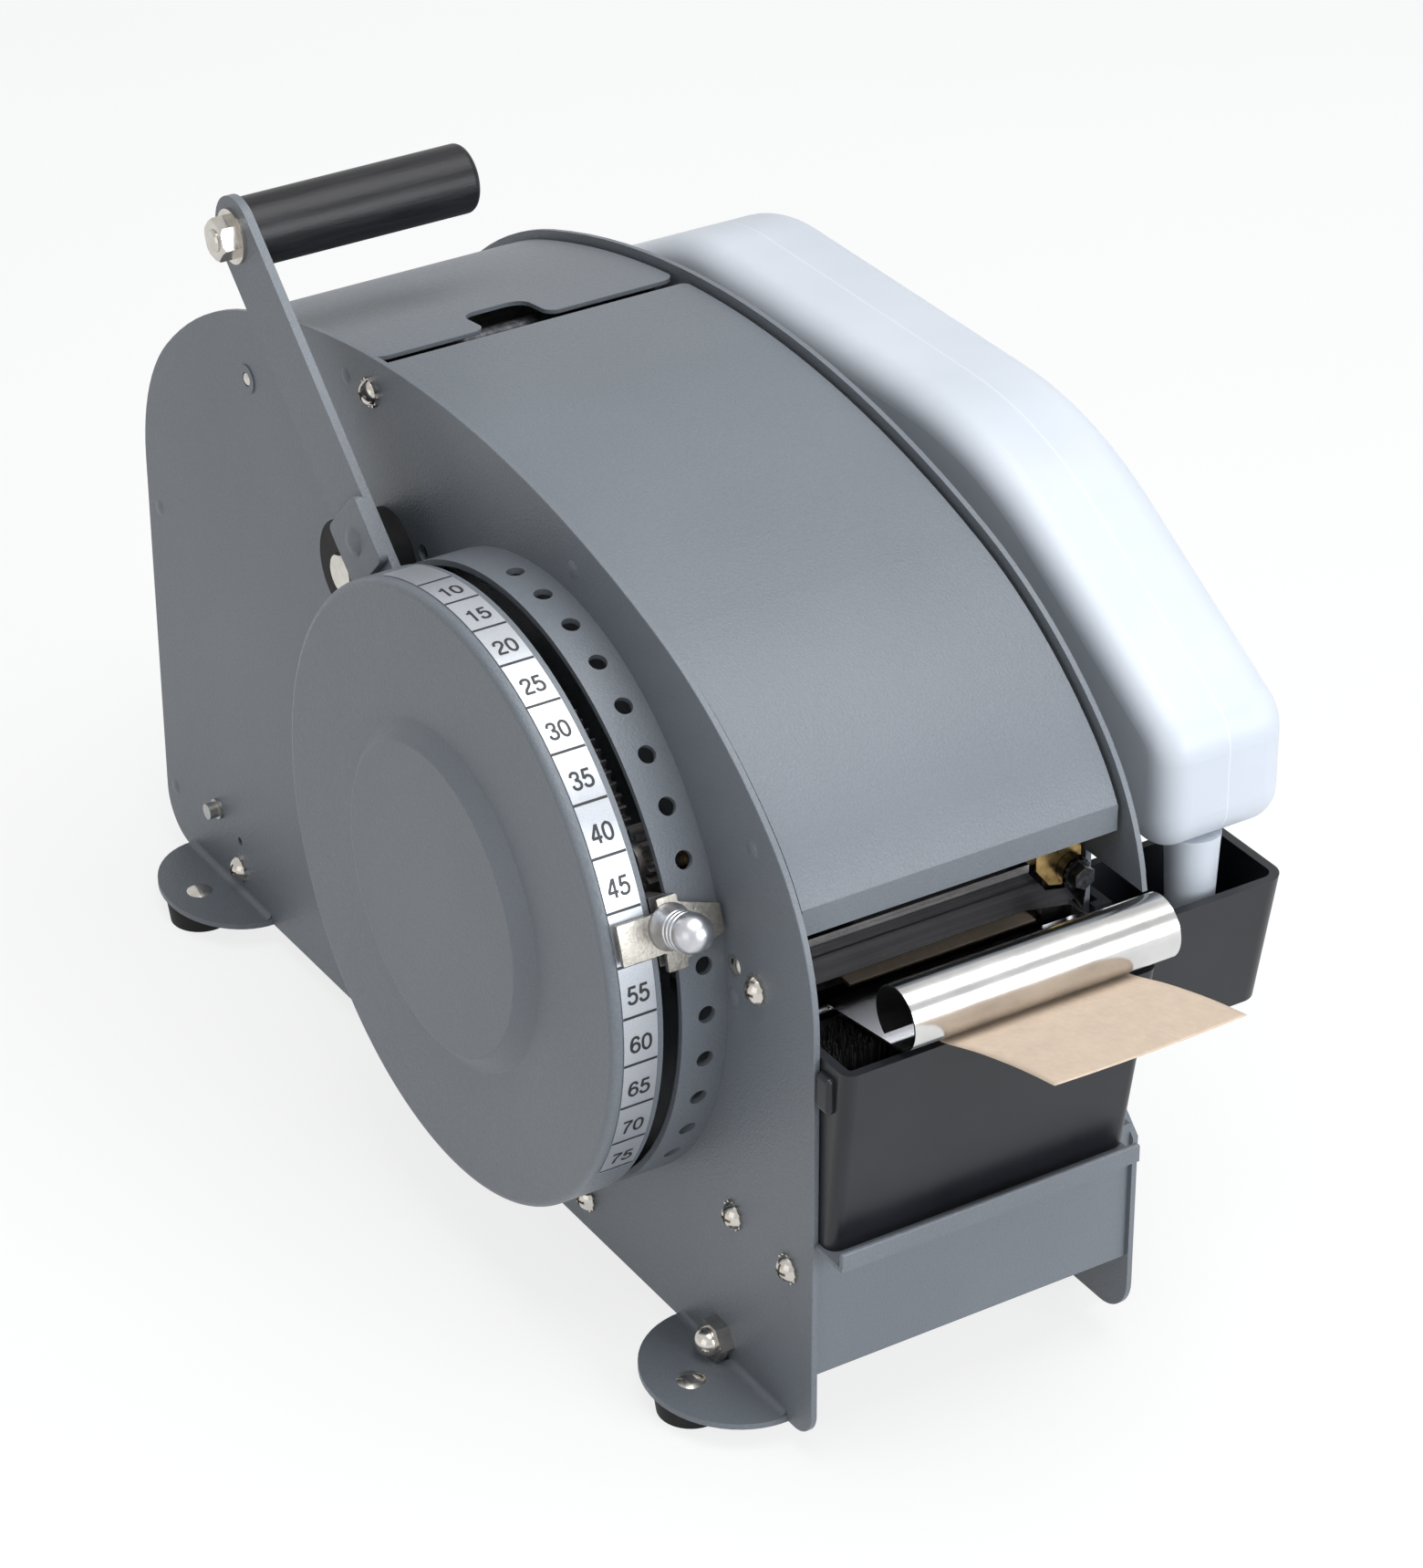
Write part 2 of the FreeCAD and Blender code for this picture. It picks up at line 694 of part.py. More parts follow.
def bumper_bolt():
    """Hex bolt; the lever's rear edge rests beside one flat of its head."""
    y, z = bolt_at.y, bolt_at.z
    low = bumper_face_x - bumper_bolt_h
    corner_r = bumper_bolt_flats / math.sqrt(3)
    shank = rod_x(y, z, hinge_pin_r, bumper_face_x, 0)
    head = hexagon_x(y, z, corner_r, low, bumper_face_x, lever_dir)
    rounding = Part.makeCone(corner_r - 0.9, corner_r + 3, 7.0, V(low, y, z), X_AXIS)
    return fused([shank, head.common(rounding)])


def gear_solid(teeth, y, z, bore, tooth_angle):
    """Spur gear with involute flanks; tooth_angle turns a tooth to that angle from +Y."""
    pitch_r = module * teeth / 2
    base_r = pitch_r * math.cos(pressure_angle)
    tip_r = pitch_r + 0.95 * module
    root_r = pitch_r - 1.25 * module
    inv_pitch = math.tan(pressure_angle) - pressure_angle
    half_pitch = math.pi / (2 * teeth) - backlash / (2 * pitch_r)
    start_r = max(base_r, root_r)
    flank = []
    for k in range(5):
        r = start_r + (tip_r - start_r) * k / 4
        roll = math.acos(min(1.0, base_r / r))
        flank.append((r, half_pitch + inv_pitch - (math.tan(roll) - roll)))
    points = []
    for i in range(teeth):
        centre = tooth_angle + 2 * math.pi * i / teeth
        foot = [(root_r, flank[0][1])] if start_r > root_r + 0.01 else []
        rising = foot + flank
        for r, half in rising:
            points.append((y + r * math.cos(centre - half), z + r * math.sin(centre - half)))
        for r, half in reversed(rising):
            points.append((y + r * math.cos(centre + half), z + r * math.sin(centre + half)))
    body = slab_yz(points, gear_x, gear_x + gear_w)
    return body.cut(rod_x(y, z, bore, gear_x - 1, gear_x + gear_w + 1))


mesh_angle = math.atan2(feed_z, feed_y)


def main_gear():
    gear = gear_solid(main_teeth, 0, 0, hub_r, mesh_angle)
    for i in range(6):
        t = math.radians(60 * i + 30)
        gear = gear.cut(rod_x(44 * math.cos(t), 44 * math.sin(t), 15, gear_x - 1, 0))
    return gear


def pinion():
    half_tooth = math.pi / pinion_teeth
    return gear_solid(pinion_teeth, feed_y, feed_z, feed_shaft_r, mesh_angle + math.pi + half_tooth)


def feed_shaft():
    return rod_x(feed_y, feed_z, feed_shaft_r, gear_x - 1, right_out + 3)


def feed_roller():
    body = rod_x(feed_y, feed_z, feed_r, feed_x[0], feed_x[1])
    return body.cut(rod_x(feed_y, feed_z, feed_shaft_r, feed_x[0] - 1, feed_x[1] + 1))


def feed_bushings():
    wall_r = feed_shaft_r + bushing_wall
    bore_r = feed_shaft_r + running_gap
    parts = []
    for x0, flange_x in ((0, left_in), (right_in, right_in - 3)):
        sleeve = tube_x(feed_y, feed_z, wall_r, bore_r, x0, x0 + plate_t)
        flange = tube_x(feed_y, feed_z, wall_r + 4, bore_r, flange_x, flange_x + 3)
        parts.append(fused([sleeve, flange]))
    return Part.Compound(parts)


def pressure_roller():
    return tube_x(feed_y, press_z, press_r, press_axle_r + running_gap, feed_x[0], feed_x[1])


def pressure_axle():
    return rod_x(feed_y, press_z, press_axle_r, 0, right_out)


roll_reach = roll_r + roller_r + contact_gap
roll_y = (back_roller[0] + front_roller[0]) / 2
roll_half = (back_roller[0] - front_roller[0]) / 2
roll_z = back_roller[1] + math.sqrt(roll_reach ** 2 - roll_half ** 2)


def tape_roll():
    return tube_x(roll_y, roll_z, roll_r, core_r, tape_x, tape_x + tape_w)


def roll_core():
    return tube_x(roll_y, roll_z, core_r, core_hole_r, tape_x, tape_x + tape_w)


def support_roller(spot):
    y, z = spot
    x0, x1 = left_in + 8, right_in - 8
    return tube_x(y, z, roller_r, roller_axle_r + running_gap, x0, x1)


def roller_axles():
    parts = []
    for y, z in (back_roller, front_roller):
        pin = rod_x(y, z, roller_axle_r, -axle_out, right_out + 3)
        washer = rod_x(y, z, axle_washer_r, -1.3, 0)
        parts.append(fused([pin, washer]))
    return Part.Compound(parts)


def roll_guides():
    """Two upright sheets beside the roll, each with a foot on the pan."""
    parts = []
    floor = pan_z + panel_t
    right_x = tape_x + tape_w + 1.0
    left_x = tape_x - 1.0 - panel_t
    for x0, foot_x in ((left_x, left_x + panel_t - guide_foot_w), (right_x, right_x)):
        y0, y1 = roll_y - guide_half, roll_y + guide_half
        wall = slab_yz([(y0, floor), (y1, floor), (y1, floor + guide_low_h),
                        (roll_y + guide_top_half, floor + guide_h),
                        (roll_y - guide_top_half, floor + guide_h), (y0, floor + guide_low_h)],
                       x0, x0 + panel_t)
        foot = box(foot_x, foot_x + guide_foot_w, y0, y1, floor, floor + panel_t)
        for y, z in (back_roller, front_roller):
            wall = wall.cut(rod_x(y, z, roller_r + 3, x0 - 1, x0 + panel_t + 1))
        parts.append(fused([wall, foot]))
    return Part.Compound(parts)


def tangent_down(from_y, from_z, r1, to_y, to_z, r2):
    """Inner tangent over circle 1 and under circle 2; gives both touching points."""
    dy, dz = to_y - from_y, to_z - from_z
    length = math.hypot(dy, dz)
    uy, uz = dy / length, dz / length
    k = (r1 + r2) / length
    s = math.sqrt(1 - k * k)
    ny, nz = k * uy + s * -uz * -1, k * uz + s * -uy
    return (from_y + r1 * ny, from_z + r1 * nz), (to_y - r2 * ny, to_z - r2 * nz)


def tape_web():
    """Paper from the roll's top, under the feed roller and forward to the shear."""
    over = roll_r + nip_gap
    under = feed_r + nip_gap
    leave, touch = tangent_down(roll_y, roll_z, over, feed_y, feed_z, under)
    low = [leave, touch]
    touch_t = math.atan2(touch[1] - feed_z, touch[0] - feed_y)
    for part in (1 / 3, 2 / 3, 1.0):
        t = touch_t + (-math.pi / 2 - touch_t) * part
        low.append((feed_y + under * math.cos(t), feed_z + under * math.sin(t)))
    low.append((fixed_blade_y + 0.4, tape_z + tape_t))
    lower = [(y, z - tape_t) for y, z in reversed(low)]
    return slab_yz(low + lower, tape_x, tape_x + tape_w)


def curl_low_z(y):
    """Height of the curl sheet's underside."""
    slope = (curl_tube_at[1] - curl_tube_r - curl_back[1]) / (curl_tube_at[0] - curl_back[0])
    return curl_back[1] + slope * (y - curl_back[0])


def tape_strip():
    """The cut strip: under the curl plate, then free and rising to its tip."""
    under_tube = (curl_tube_at[0], curl_low_z(curl_tube_at[0]) - contact_gap)
    top = [(strip_start_y, curl_low_z(strip_start_y) - contact_gap), under_tube,
           (curl_tube_at[0] - 5.6, under_tube[1] + 1.0), strip_bend, strip_tip]
    lower = [(y, z - tape_t) for y, z in reversed(top)]
    return slab_yz(top + lower, tape_x, tape_x + tape_w)


def tape_table():
    """Sheet under the paper with side flanges riveted to the plates."""
    y0, y1 = fixed_blade_y + blade_t, feed_y - press_r - 1.5
    top = tape_z - nip_gap
    sheet = box(left_in, right_in, y0, y1, top - panel_t, top)
    left = box(left_in, left_in + panel_t, y0, y1, top - panel_t, 24)
    right = box(right_in - panel_t, right_in, y0, y1, top - panel_t, 24)
    table = fused([sheet, left, right])
    for y, z in (flush_spots[3], bright_spots[0]):
        table = table.cut(rod_x(y, z, hinge_pin_r, left_in - 1, right_in + 1))
    return table


def fixed_blade():
    """Lower shear blade in one piece with the frame above it: a post, a bar and the pivot's ear."""
    x0, x1 = left_in + 6, right_in
    low_edge = tape_z - nip_gap
    y0, y1 = fixed_blade_y, fixed_blade_y + blade_t
    ear_x = pivot_x - 8
    plate = slab_xz([(x0, -16), (x1, -16), (x1, pivot_z + 10), (ear_x, pivot_z + 10),
                     (ear_x, blade_frame_top), (x0, blade_frame_top)], y0, y1)
    window = box(x0 + blade_post_w, ear_x, y0 - 1, y1 + 1, low_edge, blade_bar_low)
    bar = box(x0, pivot_x - 15.7, y0 - blade_t - 0.2, y0, blade_bar_low, blade_frame_top)
    blade = fused([plate.cut(window), bar])
    return blade.cut(rod_y(pivot_x, pivot_z, pivot_r, y0 - 1, y1 + 1))


moving_y = (fixed_blade_y - contact_gap - blade_t, fixed_blade_y - contact_gap)


def moving_blade():
    """Upper shear blade, open: a plate under the bar and an ear in front of it at the pivot."""
    x0 = left_in + 12.5
    y0, y1 = moving_y
    outline = [(x0, 9.6), (pivot_x - 12.2, 10.5), (pivot_x + 0.8, 8.0), (pivot_x + 2.3, 14.0),
               (pivot_x - 9.2, 16.4), (pivot_x - 15.7, blade_bar_low - 0.5), (x0, blade_bar_low - 0.5)]
    blade = slab_xz(outline, y0, y1)
    recess = box(x0 - 1, pivot_x - 9.2, y0 - 1, y0 + 0.6, 20.5, blade_frame_top)
    blade = blade.cut(recess)
    edge = [e for e in blade.Edges if e.Length > 60 and e.CenterOfMass.z < 12
            and e.CenterOfMass.y < y0 + 0.1]
    blade = blade.makeChamfer(1.2, edge)
    tip = (pivot_x + 3.1, 6.8)
    ear = rod_y(pivot_x, pivot_z, pivot_ear_r, y0 - pivot_ear_t, y0)
    reach = math.hypot(tip[0] - pivot_x, tip[1] - pivot_z)
    aim = math.atan2(tip[1] - pivot_z, tip[0] - pivot_x)
    spread = math.acos(pivot_ear_r / reach)
    sides = [(pivot_x + pivot_ear_r * math.cos(aim + turn), pivot_z + pivot_ear_r * math.sin(aim + turn))
             for turn in (spread, -spread)]
    ear = ear.fuse(slab_xz([sides[0], tip, sides[1], (pivot_x, pivot_z)], y0 - pivot_ear_t, y0))
    blade = fused([blade, ear])
    return blade.cut(rod_y(pivot_x, pivot_z, pivot_r + running_gap, y0 - pivot_ear_t - 1, y1 + 1))


def pivot_bushing():
    """Brass block behind the ear; its lower side follows the moving blade and stays clear of it."""
    outline = [(pivot_x - 12.8, pivot_z + 9), (pivot_x + 4.3, pivot_z + 9), (pivot_x + 4.3, 15.6),
               (pivot_x + 1.3, 15.3), (pivot_x - 7.6, 17.6), (pivot_x - 12.8, 24.4)]
    block = slab_xz(outline, fixed_blade_y - blade_t, fixed_blade_y)
    return block.cut(rod_y(pivot_x, pivot_z, pivot_r, fixed_blade_y - blade_t - 1, fixed_blade_y + 1))


def pivot_bolt():
    """Hex bolt and toothed washer that hold the moving blade."""
    seat = moving_y[0] - pivot_ear_t - contact_gap
    shank = rod_y(pivot_x, pivot_z, pivot_r, seat - 1, fixed_blade_y + blade_t + 2)
    teeth = []
    for i in range(24):
        r = pivot_washer_r if i % 2 == 0 else pivot_washer_r - 0.7
        t = math.radians(15 * i)
        teeth.append((pivot_x + r * math.cos(t), pivot_z + r * math.sin(t)))
    washer = slab_xz(teeth, seat - 1, seat)
    points = []
    for i in range(6):
        t = math.radians(60 * i + 30)
        points.append((pivot_x + pivot_head_r * math.cos(t), pivot_z + pivot_head_r * math.sin(t)))
    head = slab_xz(points, seat - 1 - pivot_head_h, seat - 1)
    return fused([shank, washer, head])


def blade_block():
    """Steel block on the left plate that takes the front screw, beside the blade's post."""
    y, z = screw_spots[2]
    block = box(left_in, left_in + 6, y - 5, fixed_blade_y + blade_t, z - 6.5, z + 6.5)
    return block.cut(rod_x(y, z, screw_r, left_in - 1, left_in + 7))


def curl_rod_piece():
    """Hinge rod of the curl plate, carried by two brackets on the fixed blade's front."""
    y, z = curl_rod
    rod = rod_x(y, z, curl_rod_r, left_in + 6.4, right_in - 0.2)
    left = box(left_in + 6.4, left_in + 10.4, y - 1.5, fixed_blade_y, z - 1.7, z + 1.9)
    right = box(right_in - 1.8, right_in - 0.2, y - 1.5, fixed_blade_y, z - 1.7, z + 1.9)
    return fused([rod, left, right])


def curl_plate():
    """Polished sheet whose front is rolled into an open tube, hung on two small ears."""
    y0, z0 = curl_tube_at
    yb, zb = curl_back
    tube = tube_x(y0, z0, curl_tube_r, curl_tube_r - curl_sheet_t, curl_x[0], curl_x[1])
    far = curl_tube_r * 1.4
    wedge = [(y0, z0)]
    for a in curl_slit_a:
        t = math.radians(a)
        wedge.append((y0 + far * math.cos(t), z0 + far * math.sin(t)))
    slit = slab_yz(wedge, curl_x[0] - 1, curl_x[1] + 1)
    low = curl_low_z(y0)
    sheet = slab_yz([(y0, low), (yb, zb), (yb, zb + curl_sheet_t), (y0, low + curl_sheet_t)],
                    curl_x[0], curl_x[1])
    ears = []
    for x0 in (curl_x[0], right_in - 1.9 - curl_ear_t):
        ears.append(rod_x(curl_rod[0], curl_rod[1], curl_ear_r, x0, x0 + curl_ear_t))
    over_wall = box(tank_right_x - tank_wall - 0.4, curl_x[1] + 1, y0, arm_front_y + 8,
                    0, curl_tube_at[1] - curl_tube_r + 0.5)
    at_bracket = box(right_in - 1.9, curl_x[1] + 1, curl_rod[0] - 2.5, yb + 1, 0, 10)
    plate = fused([tube.cut(slit), sheet.cut(over_wall).cut(at_bracket)] + ears)
    bore = rod_x(curl_rod[0], curl_rod[1], curl_rod_r + running_gap, left_in, right_in)
    return plate.cut(bore)


def rounded_block(x0, x1, y0, y1, z, r):
    """Closed wire of a rectangle with round corners, at height z."""
    k = r * (1 - math.sqrt(0.5))
    s = [
        (V(x0 + r, y0, z), V(x1 - r, y0, z)), (V(x1, y0 + r, z), V(x1, y1 - r, z)),
        (V(x1 - r, y1, z), V(x0 + r, y1, z)), (V(x0, y1 - r, z), V(x0, y0 + r, z)),
    ]
    mids = [V(x1 - k, y0 + k, z), V(x1 - k, y1 - k, z), V(x0 + k, y1 - k, z), V(x0 + k, y0 + k, z)]
    edges = []
    for i in range(4):
        edges.append(Part.LineSegment(s[i][0], s[i][1]).toShape())
        edges.append(Part.Arc(s[i][1], mids[i], s[(i + 1) % 4][0]).toShape())
    return Part.Wire(edges)


def tapered(x0, x1, y0, y1, z0, z1, draft_x0, draft_x1, draft_front, draft_back, r):
    """Block with round upright corners that narrows downwards."""
    top = rounded_block(x0, x1, y0, y1, z1, r)
    low = rounded_block(x0 + draft_x0, x1 - draft_x1, y0 + draft_front, y1 - draft_back, z0, r)
    return Part.makeLoft([low, top], True, True)


def water_tank():
    w = tank_wall
    main = tapered(tank_left_x, tank_right_x, tank_front_y, tank_back_y, shelf_z, tank_rim_z,
                   0, tank_draft, 7.5, 1.0, tank_corner_r)
    well = tapered(right_out + 1.2, arm_right_x, arm_front_y, arm_back_y, arm_low_z, tank_rim_z,
                   0, 3.2, 6.0, 1.0, well_corner_r)
    neck = box(tank_right_x - 14, right_out + 12, arm_front_y + 4.5, tank_back_y - 1.2,
               arm_low_z, tank_rim_z)
    outer = fused([main, well, neck])
    main_in = tapered(tank_left_x + w, tank_right_x - w, tank_front_y + w, tank_back_y - w,
                      shelf_z + w, tank_rim_z + 1, 0, tank_draft, 7.5, 1.0, tank_corner_r - w)
    well_in = tapered(right_out + 1.2 + w, arm_right_x - w, arm_front_y + w, arm_back_y - w,
                      arm_low_z + w, tank_rim_z + 1, 0, 3.2, 6.0, 1.0, well_corner_r - w)
    neck_in = box(tank_right_x - 16, right_out + 14, arm_front_y + 4.5 + w, tank_back_y - 1.2 - w,
                  arm_low_z + w, tank_rim_z + 1)
    low_back = box(tank_left_x + w + 1, right_in - 0.1, tank_back_y - w - 1.5, tank_back_y + 2,
                   curl_rod[1] - 3.9, tank_rim_z + 1)
    tank = outer.cut(main_in).cut(well_in).cut(neck_in).cut(low_back)
    clip = box(0, tank_left_x + w + 5, clip_front_y, front_y - contact_gap, clip_z[0], clip_z[1])
    clip = clip.makeFillet(clip_round, clip.Edges)
    inside = box(tank_left_x + w, tank_left_x + w + 6, clip_front_y - 1, front_y, clip_z[0], clip_z[1])
    return fused([tank, clip.cut(inside)])


brush_y = (tank_front_y + 11.5, tank_back_y - 5.5)
brush_x = (tank_left_x + 8, tank_right_x - 10)
brush_block_top = -26.0


def brush_block():
    return box(brush_x[0], brush_x[1], brush_y[0], brush_y[1], shelf_z + tank_wall + 0.2,
               brush_block_top)


def brush_bristles():
    gap = 2 * contact_gap + tape_t
    y0, y1 = brush_y[0] + 1, brush_y[1] - 1
    points = [(y0, brush_block_top), (y1, brush_block_top), (y1, curl_low_z(y1) - gap),
              (y0, curl_low_z(y0) - gap)]
    return slab_yz(points, brush_x[0] - 3.4, brush_x[1] + 3.4)


def front_panel():
    """Upright panel, shelf under the tank and turned-up lip, with flanges on the plates."""
    top = shelf_z
    upright = box(left_in, right_in, panel_y, panel_y + panel_t, panel_low_z, top)
    shelf = box(lip_x[0], lip_x[1], lip_y, front_y - contact_gap, top - panel_t, top)
    middle = box(left_in, lip_x[1], lip_y, panel_y, top - panel_t, top)
    inner_shelf = box(left_in, right_in, panel_y, tank_back_y + 2, top - panel_t, top)
    lip = box(lip_x[0], lip_x[1], lip_y, lip_y + lip_t, top - panel_t, top + lip_h)
    rounded = [e for e in lip.Edges if abs(e.CenterOfMass.z - top - lip_h) < 0.1
               or (abs(e.CenterOfMass.x - lip_x[0]) < 0.1 and e.Length > lip_h)]
    lip = lip.makeFillet(lip_round, rounded)
    left = box(left_in, left_in + panel_t, panel_y, -98, panel_low_z, top - panel_t)
    right = box(right_in - panel_t, right_in, panel_y, -98, panel_low_z, top - panel_t)
    panel = fused([upright, shelf, middle, inner_shelf, lip, left, right])
    for y, z in (screw_spots[3], screw_spots[4]):
        panel = panel.cut(rod_x(y, z, screw_r, -1, right_out + 1))
    return panel


def floor_pan():
    y0, y1 = pan_front_y, back_panel_y - 12
    sheet = box(left_in, right_in, y0, y1, pan_z, pan_z + panel_t)
    left = box(left_in, left_in + panel_t, y0, y1, pan_z, pan_z + pan_flange_h)
    right = box(right_in - panel_t, right_in, y0, y1, pan_z, pan_z + pan_flange_h)
    pan = fused([sheet, left, right])
    for y, z in (screw_spots[1], screw_spots[5], dome_nut_spot):
        pan = pan.cut(rod_x(y, z, screw_r, -1, right_out + 1))
    return pan


def back_panel():
    y0, y1 = back_panel_y, back_panel_y + panel_t
    sheet = box(left_in, right_in, y0, y1, bottom_z + 20, back_panel_top_z)
    left = box(left_in, left_in + panel_t, y0 - 10, y1, bottom_z + 20, -10)
    right = box(right_in - panel_t, right_in, y0 - 10, y1, bottom_z + 20, -10)
    panel = fused([sheet, left, right])
    ear_room = lid_pin[1] - ear_r - 1
    reach = side_gap + ear_t + 1
    for x0, x1 in ((left_in, left_in + reach), (right_in - reach, right_in)):
        panel = panel.cut(box(x0, x1, y0 - 11, y1 + 1, ear_room, back_panel_top_z + 1))
    y, z = flush_spots[2]
    return panel.cut(rod_x(y, z, hinge_pin_r, -1, right_out + 1))


def cross_bars():
    """Round bars between the plates, at the upper screws and rivets."""
    bars = [rod_x(y, z, bar_r, left_in, right_in)
            for y, z in (screw_spots[0], flush_spots[0], flush_spots[1])]
    return Part.Compound(bars)


def plate_screws(side):
    """Cross-recess pan head and shank; side is -1 left, +1 right."""
    parts = []
    face = -1.0 if side < 0 else right_out + 1.0
    for y, z in screw_spots:
        if side > 0 and z > -60 and y < -100:
            continue
        head = dome_x(y, z, screw_head_r, 3.0, face, side)
        for w, h in ((1.1, 5.4), (5.4, 1.1)):
            x0, x1 = sorted((face + side * 1.5, face + side * 4))
            head = head.cut(box(x0, x1, y - w / 2, y + w / 2, z - h / 2, z + h / 2))
        ends = sorted((face, 0.0 if side < 0 else right_out))
        collar = rod_x(y, z, screw_r, ends[0], ends[1])
        parts.append(fused([head, collar, screw_shank(y, z, side)]))
    return parts


def screw_shank(y, z, side):
    """Shank as deep as its seat allows: short at a cross bar, longer at a flange or block."""
    on_bar = (y, z) == screw_spots[0]
    in_block = (y, z) == screw_spots[2]
    depth = plate_t if on_bar else plate_t + (5.5 if in_block else 7)
    if side < 0:
        return rod_x(y, z, screw_r, 0, depth)
    return rod_x(y, z, screw_r, right_out - depth, right_out)


def star_washers():
    """Toothed washers under the screw heads."""
    parts = []
    for side, face in ((-1, -1.0), (1, right_out)):
        for y, z in screw_spots:
            if side > 0 and z > -60 and y < -100:
                continue
            points = []
            for i in range(24):
                r = washer_r if i % 2 == 0 else washer_r - 0.9
                t = math.radians(15 * i)
                points.append((y + r * math.cos(t), z + r * math.sin(t)))
            ring = slab_yz(points, face, face + 1.0)
            parts.append(ring.cut(rod_x(y, z, screw_r, face - 1, face + 2)))
    return Part.Compound(parts)


def screw_nuts():
    """Hex nuts inside, on the flanges of pan and front panel."""
    parts = []
    for y, z in (screw_spots[1], screw_spots[3], screw_spots[4], screw_spots[5]):
        for x0 in (left_in + panel_t, right_in - panel_t - 4):
            nut = hexagon_x(y, z, 4.6, x0, x0 + 4)
            parts.append(nut.cut(rod_x(y, z, screw_r, x0 - 1, x0 + 5)))
    return Part.Compound(parts)


def flush_rivets():
    """Painted rivets whose heads lie almost flush, and the hinge pins of lid and cover."""
    parts = []
    for y, z in flush_spots:
        on_flange = (y, z) in (flush_spots[2], flush_spots[3])
        depth = plate_t + (panel_t if on_flange else 0)
        parts += rivet_pair(y, z, rivet_r, rivet_h, depth)
    for y, z in (cover_pin, lid_pin):
        parts += rivet_pair(y, z, rivet_r, rivet_h, plate_t + side_gap + ear_t + 1)
    y, z = bright_spots[1]
    for x0, x1 in ((-0.5, 0), (right_out, right_out + 0.5)):
        parts.append(tube_x(y, z, rivet_ring_r, bright_rivets_r[1], x0, x1))
    return Part.Compound(parts)


def rivet_pair(y, z, head_r, height, depth):
    """The same rivet on both plates: low domed head outside, shank going in by depth."""
    left = fused([dome_x(y, z, head_r, height, 0, -1), rod_x(y, z, hinge_pin_r, 0, depth)])
    right = fused([dome_x(y, z, head_r, height, right_out, 1),
                   rod_x(y, z, hinge_pin_r, right_out - depth, right_out)])
    return [left, right]


def bright_rivets():
    """Small bare rivets: one beside the dial, one behind the lever."""
    parts = []
    for spot, radius in zip(bright_spots, bright_rivets_r):
        depth = plate_t + (panel_t if spot == bright_spots[0] else 0)
        parts += rivet_pair(spot[0], spot[1], radius, bright_rivet_h, depth)
    return Part.Compound(parts)


def dome_nuts():
    """Hexagon nuts with a domed cap, one on each plate."""
    parts = []
    y, z = dome_nut_spot
    for side, face in ((-1, 0.0), (1, right_out)):
        x0, x1 = sorted((face, face + side * dome_nut_h))
        nut = hexagon_x(y, z, dome_nut_r, x0, x1)
        cap = Part.makeSphere(dome_cap_r, V(face + side * dome_nut_h, y, z))
        far = face + side * (dome_nut_h + dome_cap_r + 1)
        cap = cap.common(rod_x(y, z, dome_cap_r + 1, *sorted((face + side * (dome_nut_h - 0.1), far))))
        inwards = sorted((face, face - side * (plate_t + panel_t)))
        shank = rod_x(y, z, screw_r, inwards[0], inwards[1])
        parts.append(fused([nut, cap, shank]))
    return Part.Compound(parts)


def feet_places():
    places = []
    for side in (-1, 1):
        for foot in side_feet(side):
            places.append((foot_screw_x(foot, side), foot["y"]))
    return places


def foot_rivets():
    parts = []
    for x, y in feet_places():
        shank = rod_z(x, y, foot_rivet_r / 2, bottom_z - 4, bottom_z + plate_t)
        ball_r = (foot_rivet_r ** 2 + foot_rivet_h ** 2) / (2 * foot_rivet_h)
        top = bottom_z + plate_t
        ball = Part.makeSphere(ball_r, V(x, y, top + foot_rivet_h - ball_r))
        parts.append(fused([shank, ball.common(rod_z(x, y, foot_rivet_r, top, top + 5))]))
    return Part.Compound(parts)


def rubber_feet():
    parts = []
    for x, y in feet_places():
        pad = Part.makeCone(foot_pad_r - 1.2, foot_pad_r, foot_pad_h,
                            V(x, y, bottom_z - foot_pad_h), Z_AXIS)
        parts.append(pad.cut(rod_z(x, y, foot_rivet_r / 2, bottom_z - 4, bottom_z + 1)))
    return Part.Compound(parts)


def rounded_outline(corners, x):
    """Face in the plane at x from (y, z, radius) corners, each rounded by a tangent arc."""
    edges = []
    cuts = []
    for i, (y, z, r) in enumerate(corners):
        here = V(x, y, z)
        before = V(x, *corners[i - 1][:2]) - here
        after = V(x, *corners[(i + 1) % len(corners)][:2]) - here
        before.normalize()
        after.normalize()
        half = before.getAngle(after) / 2
        start = here + before * (r / math.tan(half))
        end = here + after * (r / math.tan(half))
        inwards = before + after
        inwards.normalize()
        middle = here + inwards * (r / math.sin(half) - r)
        cuts.append((start, middle, end))
    for i, (start, middle, end) in enumerate(cuts):
        edges.append(Part.Arc(start, middle, end).toShape())
        edges.append(Part.LineSegment(end, cuts[(i + 1) % len(cuts)][0]).toShape())
    return Part.Face(Part.Wire(edges))


def bottle_profile(x):
    """Side outline of the bottle: level top, long slopes to nose and tail, level underside."""
    low, top, nose = bottle_low_z, bottle_top_z, bottle_front_y
    corners = [(nose, low, 14), (nose, 68.5, 16), (-34, top, 140), (146, top, 70), (268, 65, 12),
               (255, low, 16)]
    return rounded_outline(corners, x)


def water_bottle():
    body = bottle_profile(bottle_x[0]).extrude(V(bottle_x[1] - bottle_x[0], 0, 0))
    edges = [e for e in body.Edges if e.BoundBox.XLength < 0.01]
    body = body.makeFillet(bottle_edge_r, edges)
    neck = Part.makeCone(neck_tip_r, neck_r, bottle_low_z + 2 - neck_low_z,
                         V(neck_at[0], neck_at[1], neck_low_z), Z_AXIS)
    return fused([body, neck])


